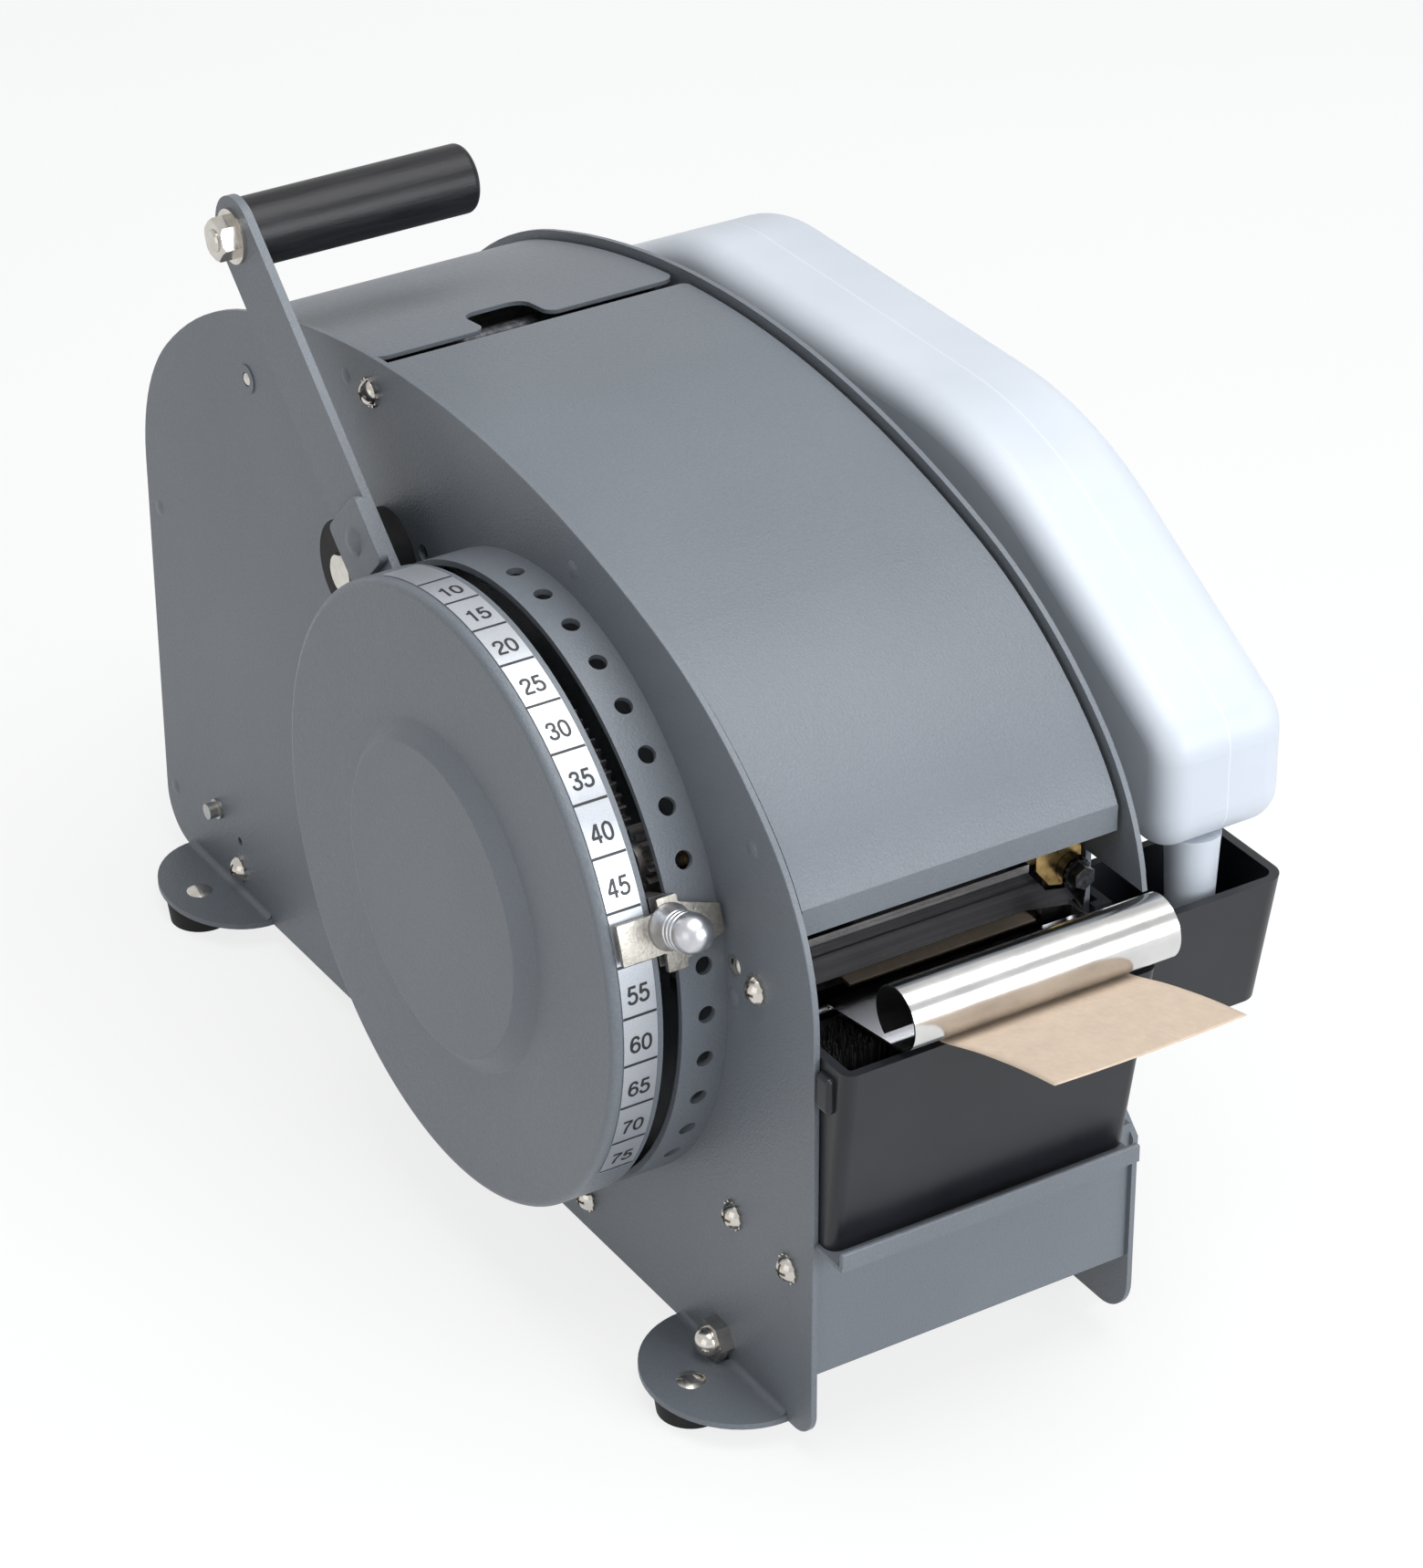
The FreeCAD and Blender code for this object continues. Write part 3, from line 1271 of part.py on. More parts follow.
def bottle_cap():
    """Valve cap on the end of the neck, down in the tank's side well."""
    cap = rod_z(neck_at[0], neck_at[1], neck_tip_r, neck_low_z - 8, neck_low_z)
    stem = rod_z(neck_at[0], neck_at[1], 2.0, neck_low_z - 14, neck_low_z - 8)
    return fused([cap, stem])


def bottle_brackets():
    """Two bent sheet ledges on the right plate that carry the bottle."""
    parts = []
    top = bottle_low_z - contact_gap
    for y0 in bracket_places:
        y1 = y0 + bracket_len
        back = box(right_out, right_out + panel_t, y0, y1, top - 20, top)
        ledge = box(right_out, bottle_x[1] + 3, y0, y1, top - panel_t, top)
        lip = box(bottle_x[1] + 1.5, bottle_x[1] + 3, y0, y1, top - panel_t, top + 10)
        stop = box(bottle_x[0] - 1.8, bottle_x[0] - 0.3, y0, y1, top - panel_t, top + 10)
        parts.append(fused([back, ledge, lip, stop]))
    return Part.Compound(parts)


def selector_arm():
    """Arm on the lever hub that reaches out between ring and cover."""
    x0, x1 = lever_x + lever_t + contact_gap, lever_x + lever_t + contact_gap + arm_t
    ring = rod_x(0, 0, hub_r + 7, x0, x1)
    out = deg_point(selector_a, 1, 0)
    side = V(0, -out.z, out.y) * (arm_w / 2)
    ends = []
    for r, s in ((0, -1), (block_r + 1, -1), (block_r + 1, 1), (0, 1)):
        p = out * r + side * s
        ends.append((p.y, p.z))
    bar = slab_yz(ends, x0, x1)
    block = sector(block_r, cover_rim_r - 0.2, block_a[0], block_a[1], -ring_w - gap_w + 0.8,
                   -ring_w - 0.2)
    arm = fused([ring, bar, block])
    arm = arm.cut(rod_x(0, 0, hub_r + running_gap, x0 - 1, x1 + 1))
    start = deg_point(selector_a, block_r - 5, knob_x)
    return arm.cut(Part.makeCylinder(knob_stud_r + running_gap, 25, start, out))


pointer_r = cover_rim_r + label_t + 0.2 + pointer_lift


def pointer_sheet(outline):
    """Flat outline of (x, angle) points laid on the pointer's radius and thickened outwards."""
    middle_a = sum(pointer_tab_a) / 2
    out = deg_point(middle_a, 1, 0)
    along = V(0, -out.z, out.y) * -1
    points = []
    for x, a in outline:
        shift_along = math.radians(a - middle_a) * (pointer_r + pointer_t / 2)
        points.append(deg_point(middle_a, pointer_r - 6, x) + along * shift_along)
    face = Part.Face(Part.makePolygon(points + points[:1]))
    return face.extrude(out * 16)


def pointer_plate():
    """Pointer: stem over the label, tab, lobe over gap and ring, and the peg under it."""
    s0, s1 = pointer_stem_a
    t0, t1 = pointer_tab_a
    (l0, l1), (e0, e1) = pointer_lobe_a
    neck_x, tab_x = pointer_tab_x
    outline = pointer_sheet([(pointer_stem_x[0], s0), (neck_x, s0), (neck_x, t0), (tab_x, t0),
                             (tab_x, l0), (pointer_lobe_end_x, e0), (pointer_lobe_end_x, e1),
                             (tab_x, l1), (tab_x, t1), (neck_x, t1), (neck_x, s1),
                             (pointer_stem_x[0], s1)])
    upright = [e for e in outline.Edges if abs(e.Length - 16) < 0.01]
    outline = outline.makeFillet(pointer_round, upright)
    band = sector(pointer_r, pointer_r + pointer_t, t0 - 4, t1 + 4, pointer_stem_x[0] - 1, 0)
    plate = outline.common(band)
    out = deg_point(selector_a, 1, 0)
    peg_low = dial_r + 0.2
    peg = Part.makeCylinder(hole_r - 0.4, pointer_r + pointer_t / 2 - peg_low,
                            deg_point(selector_a, peg_low, hole_x), out)
    return fused([plate, peg])


def selector_knob():
    """Domed knob with three grooves, on a stud that slides in the arm's block."""
    out = deg_point(selector_a, 1, 0)
    base = pointer_r + pointer_t
    foot = Part.makeCone(knob_flare_r, knob_r, 5.0, deg_point(selector_a, base, knob_x), out)
    body = Part.makeCylinder(knob_r, knob_len - 5.0, deg_point(selector_a, base + 5.0, knob_x), out)
    dome = Part.makeSphere(knob_r, deg_point(selector_a, base + knob_len, knob_x))
    knob = fused([foot, body, dome])
    for i in range(3):
        start = deg_point(selector_a, base + 6.2 + 2.2 * i, knob_x)
        ring = Part.makeCylinder(knob_r + 1, 0.8, start, out)
        knob = knob.cut(ring.cut(Part.makeCylinder(knob_r - 0.5, 0.8, start, out)))
    stud_low = block_r + 3
    stud = Part.makeCylinder(knob_stud_r, base + 1 - stud_low,
                             deg_point(selector_a, stud_low, knob_x), out)
    return knob, stud


def build():
    knob, stud = selector_knob()
    pointer = pointer_plate()
    pointer = pointer.cut(Part.makeCylinder(knob_stud_r, 40, deg_point(selector_a, 90, knob_x),
                                            deg_point(selector_a, 1, 0)))
    return {
        "side_plate_left": side_plate(-1),
        "side_plate_right": side_plate(1),
        "front_panel": front_panel(),
        "floor_pan": floor_pan(),
        "back_panel": back_panel(),
        "cross_bars": cross_bars(),
        "roll_guides": roll_guides(),
        "tape_table": tape_table(),
        "plate_screws": Part.Compound(plate_screws(-1) + plate_screws(1)),
        "star_washers": star_washers(),
        "screw_nuts": screw_nuts(),
        "flush_rivets": flush_rivets(),
        "bright_rivets": bright_rivets(),
        "dome_nuts": dome_nuts(),
        "foot_rivets": foot_rivets(),
        "rubber_feet": rubber_feet(),
        "dial_ring": dial_ring(),
        "dial_post": dial_post(),
        "dial_cover": dial_cover(),
        "scale_label": scale_label(),
        "lever_bumper": lever_bumper(),
        "bumper_bolt": bumper_bolt(),
        "feed_bushings": feed_bushings(),
        "pressure_axle": pressure_axle(),
        "roller_axles": roller_axles(),
        "fixed_blade": fixed_blade(),
        "curl_mount": Part.Compound([blade_block(), curl_rod_piece()]),
        "pivot_bolt": pivot_bolt(),
        "pivot_bushing": pivot_bushing(),
        "water_tank": water_tank(),
        "brush_block": brush_block(),
        "brush_bristles": brush_bristles(),
        "bottle_brackets": bottle_brackets(),
        "tape_web": tape_web(),
        "tape_strip": tape_strip(),
        "lever_hub": lever_hub(),
        "lever_bar": lever_bar(),
        "lever_stiffener": lever_stiffener(),
        "lever_rivet": lever_rivet(),
        "main_gear": main_gear(),
        "grip_bolt": grip_bolt(),
        "grip_nut": grip_nut(),
        "grip": grip(),
        "feed_shaft": feed_shaft(),
        "feed_roller": feed_roller(),
        "pinion": pinion(),
        "pressure_roller": pressure_roller(),
        "tape_roll": tape_roll(),
        "roll_core": roll_core(),
        "support_roller_back": support_roller(back_roller),
        "support_roller_front": support_roller(front_roller),
        "selector_arm": selector_arm(),
        "pointer_plate": pointer,
        "selector_knob": fused([knob, stud]),
        "lid": lid_cover(),
        "front_cover": front_cover(),
        "moving_blade": moving_blade(),
        "curl_plate": curl_plate(),
        "water_bottle": water_bottle(),
        "bottle_cap": bottle_cap(),
    }


shapes = build()

# The origin goes to the middle of the whole, on the plane of the rubber feet
whole = FreeCAD.BoundBox()
for shape in shapes.values():
    whole.add(shape.optimalBoundingBox(False, False))
shift = V(-(whole.XMin + whole.XMax) / 2, -(whole.YMin + whole.YMax) / 2, -bottom_z + foot_pad_h)
print("shift %.4f %.4f %.4f" % (shift.x, shift.y, shift.z))
for name, shape in shapes.items():
    if not shape.isValid():
        print("not valid:", name)
    placed = shape.copy()
    placed.translate(shift)
    placed.exportStep("parts/%s.step" % name)
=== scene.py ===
import json
import math

import bpy
import numpy as np
from mathutils import Matrix, Vector


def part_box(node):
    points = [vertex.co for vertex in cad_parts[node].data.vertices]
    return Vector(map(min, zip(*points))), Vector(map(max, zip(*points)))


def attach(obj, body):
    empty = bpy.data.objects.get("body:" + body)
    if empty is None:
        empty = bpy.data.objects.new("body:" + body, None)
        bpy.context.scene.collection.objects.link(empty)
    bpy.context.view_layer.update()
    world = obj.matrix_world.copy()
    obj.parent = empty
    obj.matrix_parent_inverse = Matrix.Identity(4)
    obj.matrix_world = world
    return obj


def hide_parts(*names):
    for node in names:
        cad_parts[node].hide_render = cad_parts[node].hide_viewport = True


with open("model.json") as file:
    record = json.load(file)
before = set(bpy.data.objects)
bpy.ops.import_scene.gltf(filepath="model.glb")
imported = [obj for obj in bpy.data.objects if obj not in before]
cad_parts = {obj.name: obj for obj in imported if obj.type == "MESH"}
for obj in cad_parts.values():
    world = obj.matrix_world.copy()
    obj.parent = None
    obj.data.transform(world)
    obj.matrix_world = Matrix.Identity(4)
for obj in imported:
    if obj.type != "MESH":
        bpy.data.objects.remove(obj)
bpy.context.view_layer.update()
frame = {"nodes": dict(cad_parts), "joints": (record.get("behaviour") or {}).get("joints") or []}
nodes = frame["nodes"]
joints = {joint["name"]: joint for joint in frame["joints"]}
scene = bpy.context.scene
MM = 0.001

# The dial axis is the lever's axis; the left plate's outer face is where the dial ring ends.
dial_y, dial_z = joints["lever_swing"]["pos_m"][1:]
plate_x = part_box("dial_ring")[1].x


def place(x, y, z):
    """Metres in the frame, from millimetres in X from the left plate and in Y and Z from the dial axis."""
    return Vector((plate_x + x * MM, dial_y + y * MM, dial_z + z * MM))


def place_all(points):
    """The same for a whole array of points, millimetres in and metres out."""
    return np.asarray(points, float) * MM + np.array((plate_x, dial_y, dial_z))


# Camera

def photo_camera():
    """The camera stands where the photograph's was, with its focal length in pixels made a lens."""
    azimuth, elevation, roll = -0.556326, 0.53742, -0.004144
    focal_px, off_x, off_y, off_z = 5698.88, -54.36728, -25.3431, 1602.4723
    sensor_mm, frame_px = 36, 1719
    # Millimetres in one of the fit's units, and where the left plate stands in them
    unit, plate_u = 1.045, 7.4647
    back = Vector((math.sin(azimuth) * math.cos(elevation), -math.cos(azimuth) * math.cos(elevation),
                   math.sin(elevation)))
    right = (-back).cross(Vector((0, 0, 1))).normalized()
    up = right.cross(-back)
    r = right * math.cos(roll) + up * math.sin(roll)
    u = up * math.cos(roll) - right * math.sin(roll)
    spot = r * -off_x + u * -off_y + back * off_z
    lens = bpy.data.cameras.new("photo_camera")
    lens.sensor_width = sensor_mm
    lens.lens = focal_px * sensor_mm / frame_px
    lens.clip_start, lens.clip_end = 0.05, 50
    camera = bpy.data.objects.new("photo_camera", lens)
    scene.collection.objects.link(camera)
    turn = Matrix((r, u, back)).transposed().to_4x4()
    where = place((spot.x - plate_u) * unit, spot.y * unit, spot.z * unit)
    camera.matrix_world = Matrix.Translation(where) @ turn
    scene.camera = camera


# Shader maths

class Wire:
    """A socket that takes part in sums: each operator adds a Math node to its finish."""

    def __init__(self, finish, socket):
        self.finish, self.socket = finish, socket

    def _sum(self, operation, a, b):
        return self.finish.add("ShaderNodeMath", {"operation": operation}, {0: a, 1: b})

    def __add__(self, other):
        return self._sum("ADD", self, other)

    def __radd__(self, other):
        return self._sum("ADD", other, self)

    def __sub__(self, other):
        return self._sum("SUBTRACT", self, other)

    def __mul__(self, other):
        return self._sum("MULTIPLY", self, other)

    def __rmul__(self, other):
        return self._sum("MULTIPLY", other, self)

    def __pow__(self, other):
        return self._sum("POWER", self, other)


class Finish:
    """A material being mixed: its node tree, one Principled shader and the ways to feed it."""

    def __init__(self, name, colour, roughness, metallic=0.0, **fixed):
        self.material = bpy.data.materials.new(name)
        self.material.use_nodes = True
        self.tree = self.material.node_tree
        self.shader = self.tree.nodes["Principled BSDF"]
        self.shader.inputs["Base Color"].default_value = (*colour, 1)
        self.shader.inputs["Roughness"].default_value = roughness
        self.shader.inputs["Metallic"].default_value = metallic
        for socket, value in fixed.items():
            self.shader.inputs[socket.replace("_", " ")].default_value = value

    def add(self, kind, settings=None, sockets=None, out=0):
        """One node: its settings first (a ramp's stops among them), then its sockets' values or links."""
        node = self.tree.nodes.new(kind)
        for key, value in (settings or {}).items():
            if key == "stops":
                ramp = node.color_ramp
                while len(ramp.elements) < len(value):
                    ramp.elements.new(0.5)
                for element, (spot, colour) in zip(ramp.elements, value):
                    element.position = spot
                    element.color = colour if len(colour) == 4 else (*colour, 1)
            else:
                setattr(node, key, value)
        for key, value in (sockets or {}).items():
            if isinstance(value, Wire):
                self.tree.links.new(value.socket, node.inputs[key])
            else:
                node.inputs[key].default_value = value
        return Wire(self, node.outputs[out])

    def spots(self, squeeze=(1, 1, 1)):
        """Object coordinates in metres, each axis squeezed by its own factor."""
        here = self.add("ShaderNodeTexCoord", out="Object")
        return self.add("ShaderNodeMapping", {"vector_type": "TEXTURE"},
                        {"Vector": here, "Scale": tuple(1 / s for s in squeeze)})

    def noise(self, scale, detail, rough=0.5, at=None):
        return self.add("ShaderNodeTexNoise", None,
                        {"Vector": at or self.spots(), "Scale": scale, "Detail": detail,
                         "Roughness": rough}, "Fac")

    def cells(self, scale, at=None, out="Distance"):
        return self.add("ShaderNodeTexVoronoi", None, {"Vector": at or self.spots(), "Scale": scale}, out)

    def ramp(self, wire, stops):
        return self.add("ShaderNodeValToRGB", {"stops": stops}, {"Fac": wire}, "Color")

    def blend(self, wire, a, b):
        """Colour a where the wire is 0, colour b where it is 1."""
        colour = [c if isinstance(c, Wire) else (*c, 1) for c in (a, b)]
        return self.add("ShaderNodeMix", {"data_type": "RGBA"},
                        {"Factor": wire, "A": colour[0], "B": colour[1]}, 2)

    def feed(self, socket, wire):
        self.tree.links.new(wire.socket, self.shader.inputs[socket])

    def bump(self, height, depth, strength):
        return self.add("ShaderNodeBump", None,
                        {"Height": height, "Distance": depth, "Strength": strength}, "Normal")


# Finishes

def machine_paint():
    """Grey-blue powder coat: fine orange-peel grain and faint cloudiness."""
    f = Finish("machine_paint", (0.145, 0.165, 0.182), 0.42, 0.0, Specular_IOR_Level=0.45)
    cloud = f.noise(9, 3)
    grain = f.noise(1500, 2, 0.6)
    pits = f.cells(1100)
    f.feed("Base Color", f.ramp(cloud * 0.5 + grain * 0.5, [(0.3, (0.12, 0.133, 0.15)),
                                                            (0.7, (0.156, 0.173, 0.194))]))
    f.feed("Roughness", 0.33 + 0.2 * f.noise(900, 2))
    f.feed("Normal", f.bump(grain * 0.6 + pits * 0.6, 0.0002, 0.7))
    return f.material


def nickel():
    """Bright plated hardware: slightly warm, faintly uneven, small handling marks."""
    colour, shine = (0.66, 0.63, 0.58), 0.16
    f = Finish("bright_nickel", colour, shine, 1.0)
    patch = f.noise(220, 4)
    marks = f.noise(2600, 2)
    f.feed("Base Color", f.ramp(patch, [(0.3, tuple(c * 0.82 for c in colour)), (0.7, colour)]))
    f.feed("Roughness", shine * 0.7 + patch * shine * 0.9)
    f.feed("Normal", f.bump(marks, 0.000004, 0.4))
    return f.material


def satin_nickel():
    """Pointer plate: pebbled satin nickel."""
    f = Finish("satin_nickel", (0.38, 0.355, 0.315), 0.34, 1.0)
    pebble = f.noise(900, 3, 0.6)
    f.feed("Base Color", f.ramp(pebble, [(0.3, (0.3, 0.28, 0.25)), (0.75, (0.44, 0.415, 0.37))]))
    f.feed("Roughness", 0.24 + pebble * 0.22)
    f.feed("Normal", f.bump(pebble, 0.00012, 0.6))
    return f.material


def zinc_steel():
    """Inner steelwork: dull zinc with soft spangles."""
    f = Finish("zinc_steel", (0.42, 0.42, 0.41), 0.4, 1.0)
    spangle = f.cells(160, out="Color")
    smear = f.noise(60, 4)
    grey = f.blend(f.noise(300, 2), (0.36, 0.36, 0.36), (0.5, 0.5, 0.49))
    f.feed("Base Color", f.add("ShaderNodeMix", {"data_type": "RGBA", "blend_type": "MULTIPLY"},
                               {0: 0.12, 6: grey, 7: spangle}, 2))
    f.feed("Roughness", 0.3 + smear * 0.25)
    return f.material


def polished_sheet():
    """Stainless curl plate: rolled along X, so fine streaks run that way."""
    f = Finish("polished_sheet", (0.64, 0.635, 0.63), 0.16, 1.0)
    streak = f.noise(1400, 3, 0.6, f.spots((0.012, 1, 1)))
    smudge = f.noise(70, 4)
    f.feed("Base Color", f.ramp(smudge, [(0.3, (0.58, 0.575, 0.57)), (0.7, (0.7, 0.695, 0.69))]))
    f.feed("Roughness", 0.08 + streak * 0.12 + smudge * 0.08)
    f.feed("Normal", f.bump(streak, 0.000003, 0.4))
    return f.material


def blade_steel(name, colour):
    """Shear plates: ground steel with long streaks; the moving one is given a near-black colour as painted
    shade, the bar a brighter one.
    """
    f = Finish(name, colour, 0.2, 1.0)
    streak = f.noise(900, 3, 0.6, f.spots((0.01, 1, 1)))
    dark, light = [tuple(c * k for c in colour) for k in (0.75, 1.3)]
    f.feed("Base Color", f.ramp(streak, [(0.3, dark), (0.7, light)]))
    f.feed("Roughness", 0.12 + streak * 0.18)
    f.feed("Normal", f.bump(streak, 0.00003, 0.5))
    return f.material


def turned_aluminium():
    """Knob: turned aluminium, faintly uneven."""
    f = Finish("turned_aluminium", (0.6, 0.61, 0.63), 0.3, 1.0)
    fine = f.noise(1800, 2)
    patch = f.noise(400, 3)
    f.feed("Base Color", f.ramp(patch, [(0.3, (0.54, 0.55, 0.57)), (0.7, (0.64, 0.65, 0.68))]))
    f.feed("Roughness", 0.24 + fine * 0.16)
    f.feed("Normal", f.bump(fine, 0.000004, 0.4))
    return f.material


def label_silver():
    """Scale strip: satin silver foil under a clear film."""
    f = Finish("label_silver", (0.5, 0.52, 0.55), 0.36, 0.6, Coat_Weight=0.25, Coat_Roughness=0.25)
    foil = f.noise(2600, 2, 0.7)
    f.feed("Base Color", f.ramp(foil, [(0.25, (0.42, 0.44, 0.47)), (0.75, (0.54, 0.56, 0.6))]))
    f.feed("Roughness", 0.28 + f.noise(240, 3) * 0.14)
    return f.material


def printing_ink():
    """Figures and lines on the scale."""
    f = Finish("printing_ink", (0.012, 0.013, 0.016), 0.45)
    speck = f.noise(3000, 2)
    f.feed("Base Color", f.ramp(speck, [(0.3, (0.009, 0.01, 0.012)), (0.8, (0.02, 0.021, 0.025))]))
    f.feed("Roughness", 0.38 + f.noise(800, 2) * 0.16)
    return f.material


def brass():
    """Turned brass, slightly oiled and dark in the pores."""
    f = Finish("turned_brass", (0.58, 0.4, 0.16), 0.26, 1.0)
    tarnish = f.noise(260, 4)
    f.feed("Base Color", f.ramp(tarnish, [(0.3, (0.36, 0.24, 0.09)), (0.65, (0.66, 0.47, 0.2))]))
    f.feed("Roughness", 0.18 + tarnish * 0.22)
    return f.material


def black_steel_and_painted_shade():
    """Near-black steel with a soft sheen: oil-blackened on the pivot bolt, painted shade on the cross bars
    seen through the lid's notch.
    """
    f = Finish("blackened_steel_and_painted_shade", (0.03, 0.032, 0.036), 0.32, 0.7)
    wear = f.noise(500, 4)
    f.feed("Base Color", f.ramp(wear, [(0.4, (0.02, 0.022, 0.026)), (0.8, (0.09, 0.09, 0.095))]))
    f.feed("Roughness", 0.24 + wear * 0.2)
    return f.material


def black_rubber():
    """Matt moulded rubber with a dusty grain."""
    f = Finish("black_rubber", (0.01, 0.01, 0.011), 0.66, 0.0, Specular_IOR_Level=0.25)
    grain = f.noise(1600, 3, 0.6)
    dust = f.noise(120, 4)
    f.feed("Base Color", f.ramp(dust, [(0.3, (0.006, 0.006, 0.007)), (0.75, (0.014, 0.014, 0.015))]))
    f.feed("Roughness", 0.55 + grain * 0.2)
    f.feed("Normal", f.bump(grain, 0.00008, 0.5))
    return f.material


def tank_plastic():
    """Moulded black plastic: satin, with a very fine grain and faint rubbing marks."""
    f = Finish("tank_plastic", (0.012, 0.013, 0.016), 0.34, 0.0, Specular_IOR_Level=0.4)
    grain = f.noise(1900, 2)
    rub = f.noise(26, 4, 0.6)
    f.feed("Base Color", f.ramp(rub, [(0.3, (0.009, 0.01, 0.013)), (0.75, (0.016, 0.017, 0.021))]))
    f.feed("Roughness", 0.24 + rub * 0.18 + grain * 0.06)
    f.feed("Normal", f.bump(grain, 0.00003, 0.4))
    return f.material


def bottle_plastic():
    """Blow-moulded milky polyethylene: soft, slightly bluish, wavy, with a faint seam down the middle."""
    f = Finish("bottle_plastic", (0.52, 0.55, 0.6), 0.42, 0.0, Subsurface_Weight=0.15,
               Subsurface_Scale=0.004, Subsurface_Radius=(1.0, 0.9, 0.8))
    wave = f.noise(16, 3)
    grain = f.noise(1200, 2)
    here = f.add("ShaderNodeTexCoord", out="Object")
    across = f.add("ShaderNodeSeparateXYZ", None, {0: here}, "X")
    low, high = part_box("water_bottle")
    off = f.add("ShaderNodeMath", {"operation": "ABSOLUTE"}, {0: across - (low.x + high.x) / 2})
    seam = f.add("ShaderNodeMapRange", None, {"Value": off, "From Min": 0.0001, "From Max": 0.0005,
                                             "To Min": 1.0, "To Max": 0.0})
    skin = f.ramp(wave, [(0.3, (0.49, 0.525, 0.575)), (0.7, (0.55, 0.58, 0.63))])
    f.feed("Base Color", f.blend(seam * 0.5, skin, (0.66, 0.68, 0.72)))
    f.feed("Roughness", 0.36 + grain * 0.12)
    f.feed("Normal", f.bump(wave * 0.9 + grain * 0.04 + seam * 0.3, 0.0005, 0.3))
    return f.material


def lacquered_wood():
    """Grip: black lacquer over open-grained wood, the grain running along the grip."""
    f = Finish("lacquered_wood", (0.01, 0.01, 0.011), 0.34, 0.0, Specular_IOR_Level=0.3)
    grain = f.noise(700, 5, 0.65, f.spots((0.05, 1, 1)))
    pores = f.noise(1900, 3, 0.6, f.spots((0.08, 1, 1)))
    f.feed("Base Color", f.ramp(grain, [(0.35, (0.005, 0.005, 0.006)), (0.75, (0.018, 0.018, 0.021))]))
    f.feed("Roughness", 0.24 + grain * 0.24)
    f.feed("Normal", f.bump(grain + pores * 0.6, 0.00014, 0.5))
    return f.material


def kraft_paper():
    """Unbleached kraft: cloudy pulp with short fibres lying along the strip."""
    colour = (0.56, 0.45, 0.35)
    f = Finish("kraft_paper", colour, 0.72, 0.0, Specular_IOR_Level=0.3)
    cloud = f.noise(110, 5, 0.6)
    fibre = f.noise(900, 4, 0.7, f.spots((1, 0.22, 1)))
    fleck = f.cells(420, f.spots((1, 0.3, 1)))
    dark, light = [tuple(c * k for c in colour) for k in (0.88, 1.1)]
    f.feed("Base Color", f.ramp(cloud * 0.4 + fibre * 0.5 + fleck * 0.12, [(0.3, dark), (0.7, light)]))
    f.feed("Roughness", 0.62 + fibre * 0.2)
    f.feed("Normal", f.bump(fibre + cloud * 0.5, 0.00005, 0.5))
    return f.material


def wound_paper():
    """Side and face of the paper roll: the wound layers show as rings round the roll's axis."""
    f = Finish("wound_paper", (0.5, 0.35, 0.21), 0.75)
    axis = joints["roll_spin"]["pos_m"]
    here = f.add("ShaderNodeTexCoord", out="Object")
    parts = [f.add("ShaderNodeSeparateXYZ", None, {0: here}, side) for side in ("Y", "Z")]
    across, up = parts[0] - axis[1], parts[1] - axis[2]
    reach = (across * across + up * up) ** 0.5
    layer, band = [f.add("ShaderNodeTexNoise", {"noise_dimensions": "1D"},
                         {"W": reach, "Scale": scale, "Detail": detail})
                   for scale, detail in ((1500.0, 4.0), (160.0, 3.0))]
    f.feed("Base Color", f.ramp(layer * 0.7 + band * 0.3, [(0.3, (0.36, 0.24, 0.13)),
                                                           (0.7, (0.58, 0.42, 0.26))]))
    f.feed("Normal", f.bump(layer, 0.0001, 0.5))
    return f.material


def cardboard():
    """Grey-brown core board with pressed fibres."""
    f = Finish("core_board", (0.36, 0.27, 0.18), 0.8)
    fibre = f.noise(600, 5, 0.7)
    f.feed("Base Color", f.ramp(fibre, [(0.3, (0.28, 0.2, 0.13)), (0.7, (0.44, 0.34, 0.24))]))
    f.feed("Normal", f.bump(fibre, 0.0001, 0.5))
    return f.material


def bristle_black():
    """Nylon bristles: black with a small sheen."""
    f = Finish("bristle_black", (0.012, 0.012, 0.013), 0.38)
    tint = f.noise(700, 2)
    f.feed("Base Color", f.ramp(tint, [(0.3, (0.008, 0.008, 0.009)), (0.8, (0.035, 0.033, 0.031))]))
    f.feed("Roughness", 0.3 + f.noise(900, 2) * 0.2)
    return f.material


def roller_plastic():
    """Plain white nylon rollers."""
    f = Finish("roller_plastic", (0.7, 0.7, 0.68), 0.4)
    f.feed("Base Color", f.ramp(f.noise(80, 4), [(0.3, (0.64, 0.64, 0.62)), (0.7, (0.76, 0.76, 0.74))]))
    f.feed("Roughness", 0.34 + f.noise(700, 2) * 0.14)
    return f.material


def dress(node_names, material):
    for name in node_names:
        mesh = nodes[name].data
        mesh.materials.clear()
        mesh.materials.append(material)


# Meshes

def new_piece(name, points, faces, material):
    """An object at the origin whose mesh lies in place."""
    mesh = bpy.data.meshes.new(name)
    mesh.from_pydata(points, [], faces)
    mesh.materials.append(material)
    piece = bpy.data.objects.new(name, mesh)
    scene.collection.objects.link(piece)
    return piece


def ring_mesh(name, points, material, caps=False):
    """A smooth surface from a grid of points (rows, columns, xyz) closed round its columns, with each
    end row closed by a face when caps is true."""
    rows, cols = points.shape[:2]
    number = np.arange(rows * cols).reshape(rows, cols)
    c = np.hstack((number, number[:, :1]))
    faces = np.stack((c[:-1, :-1], c[:-1, 1:], c[1:, 1:], c[1:, :-1]), -1).reshape(-1, 4).tolist()
    if caps:
        faces += [number[0, ::-1].tolist(), number[-1].tolist()]
    piece = new_piece(name, points.reshape(-1, 3).tolist(), faces, material)
    piece.data.polygons.foreach_set("use_smooth", np.full(len(faces), True))
    return piece


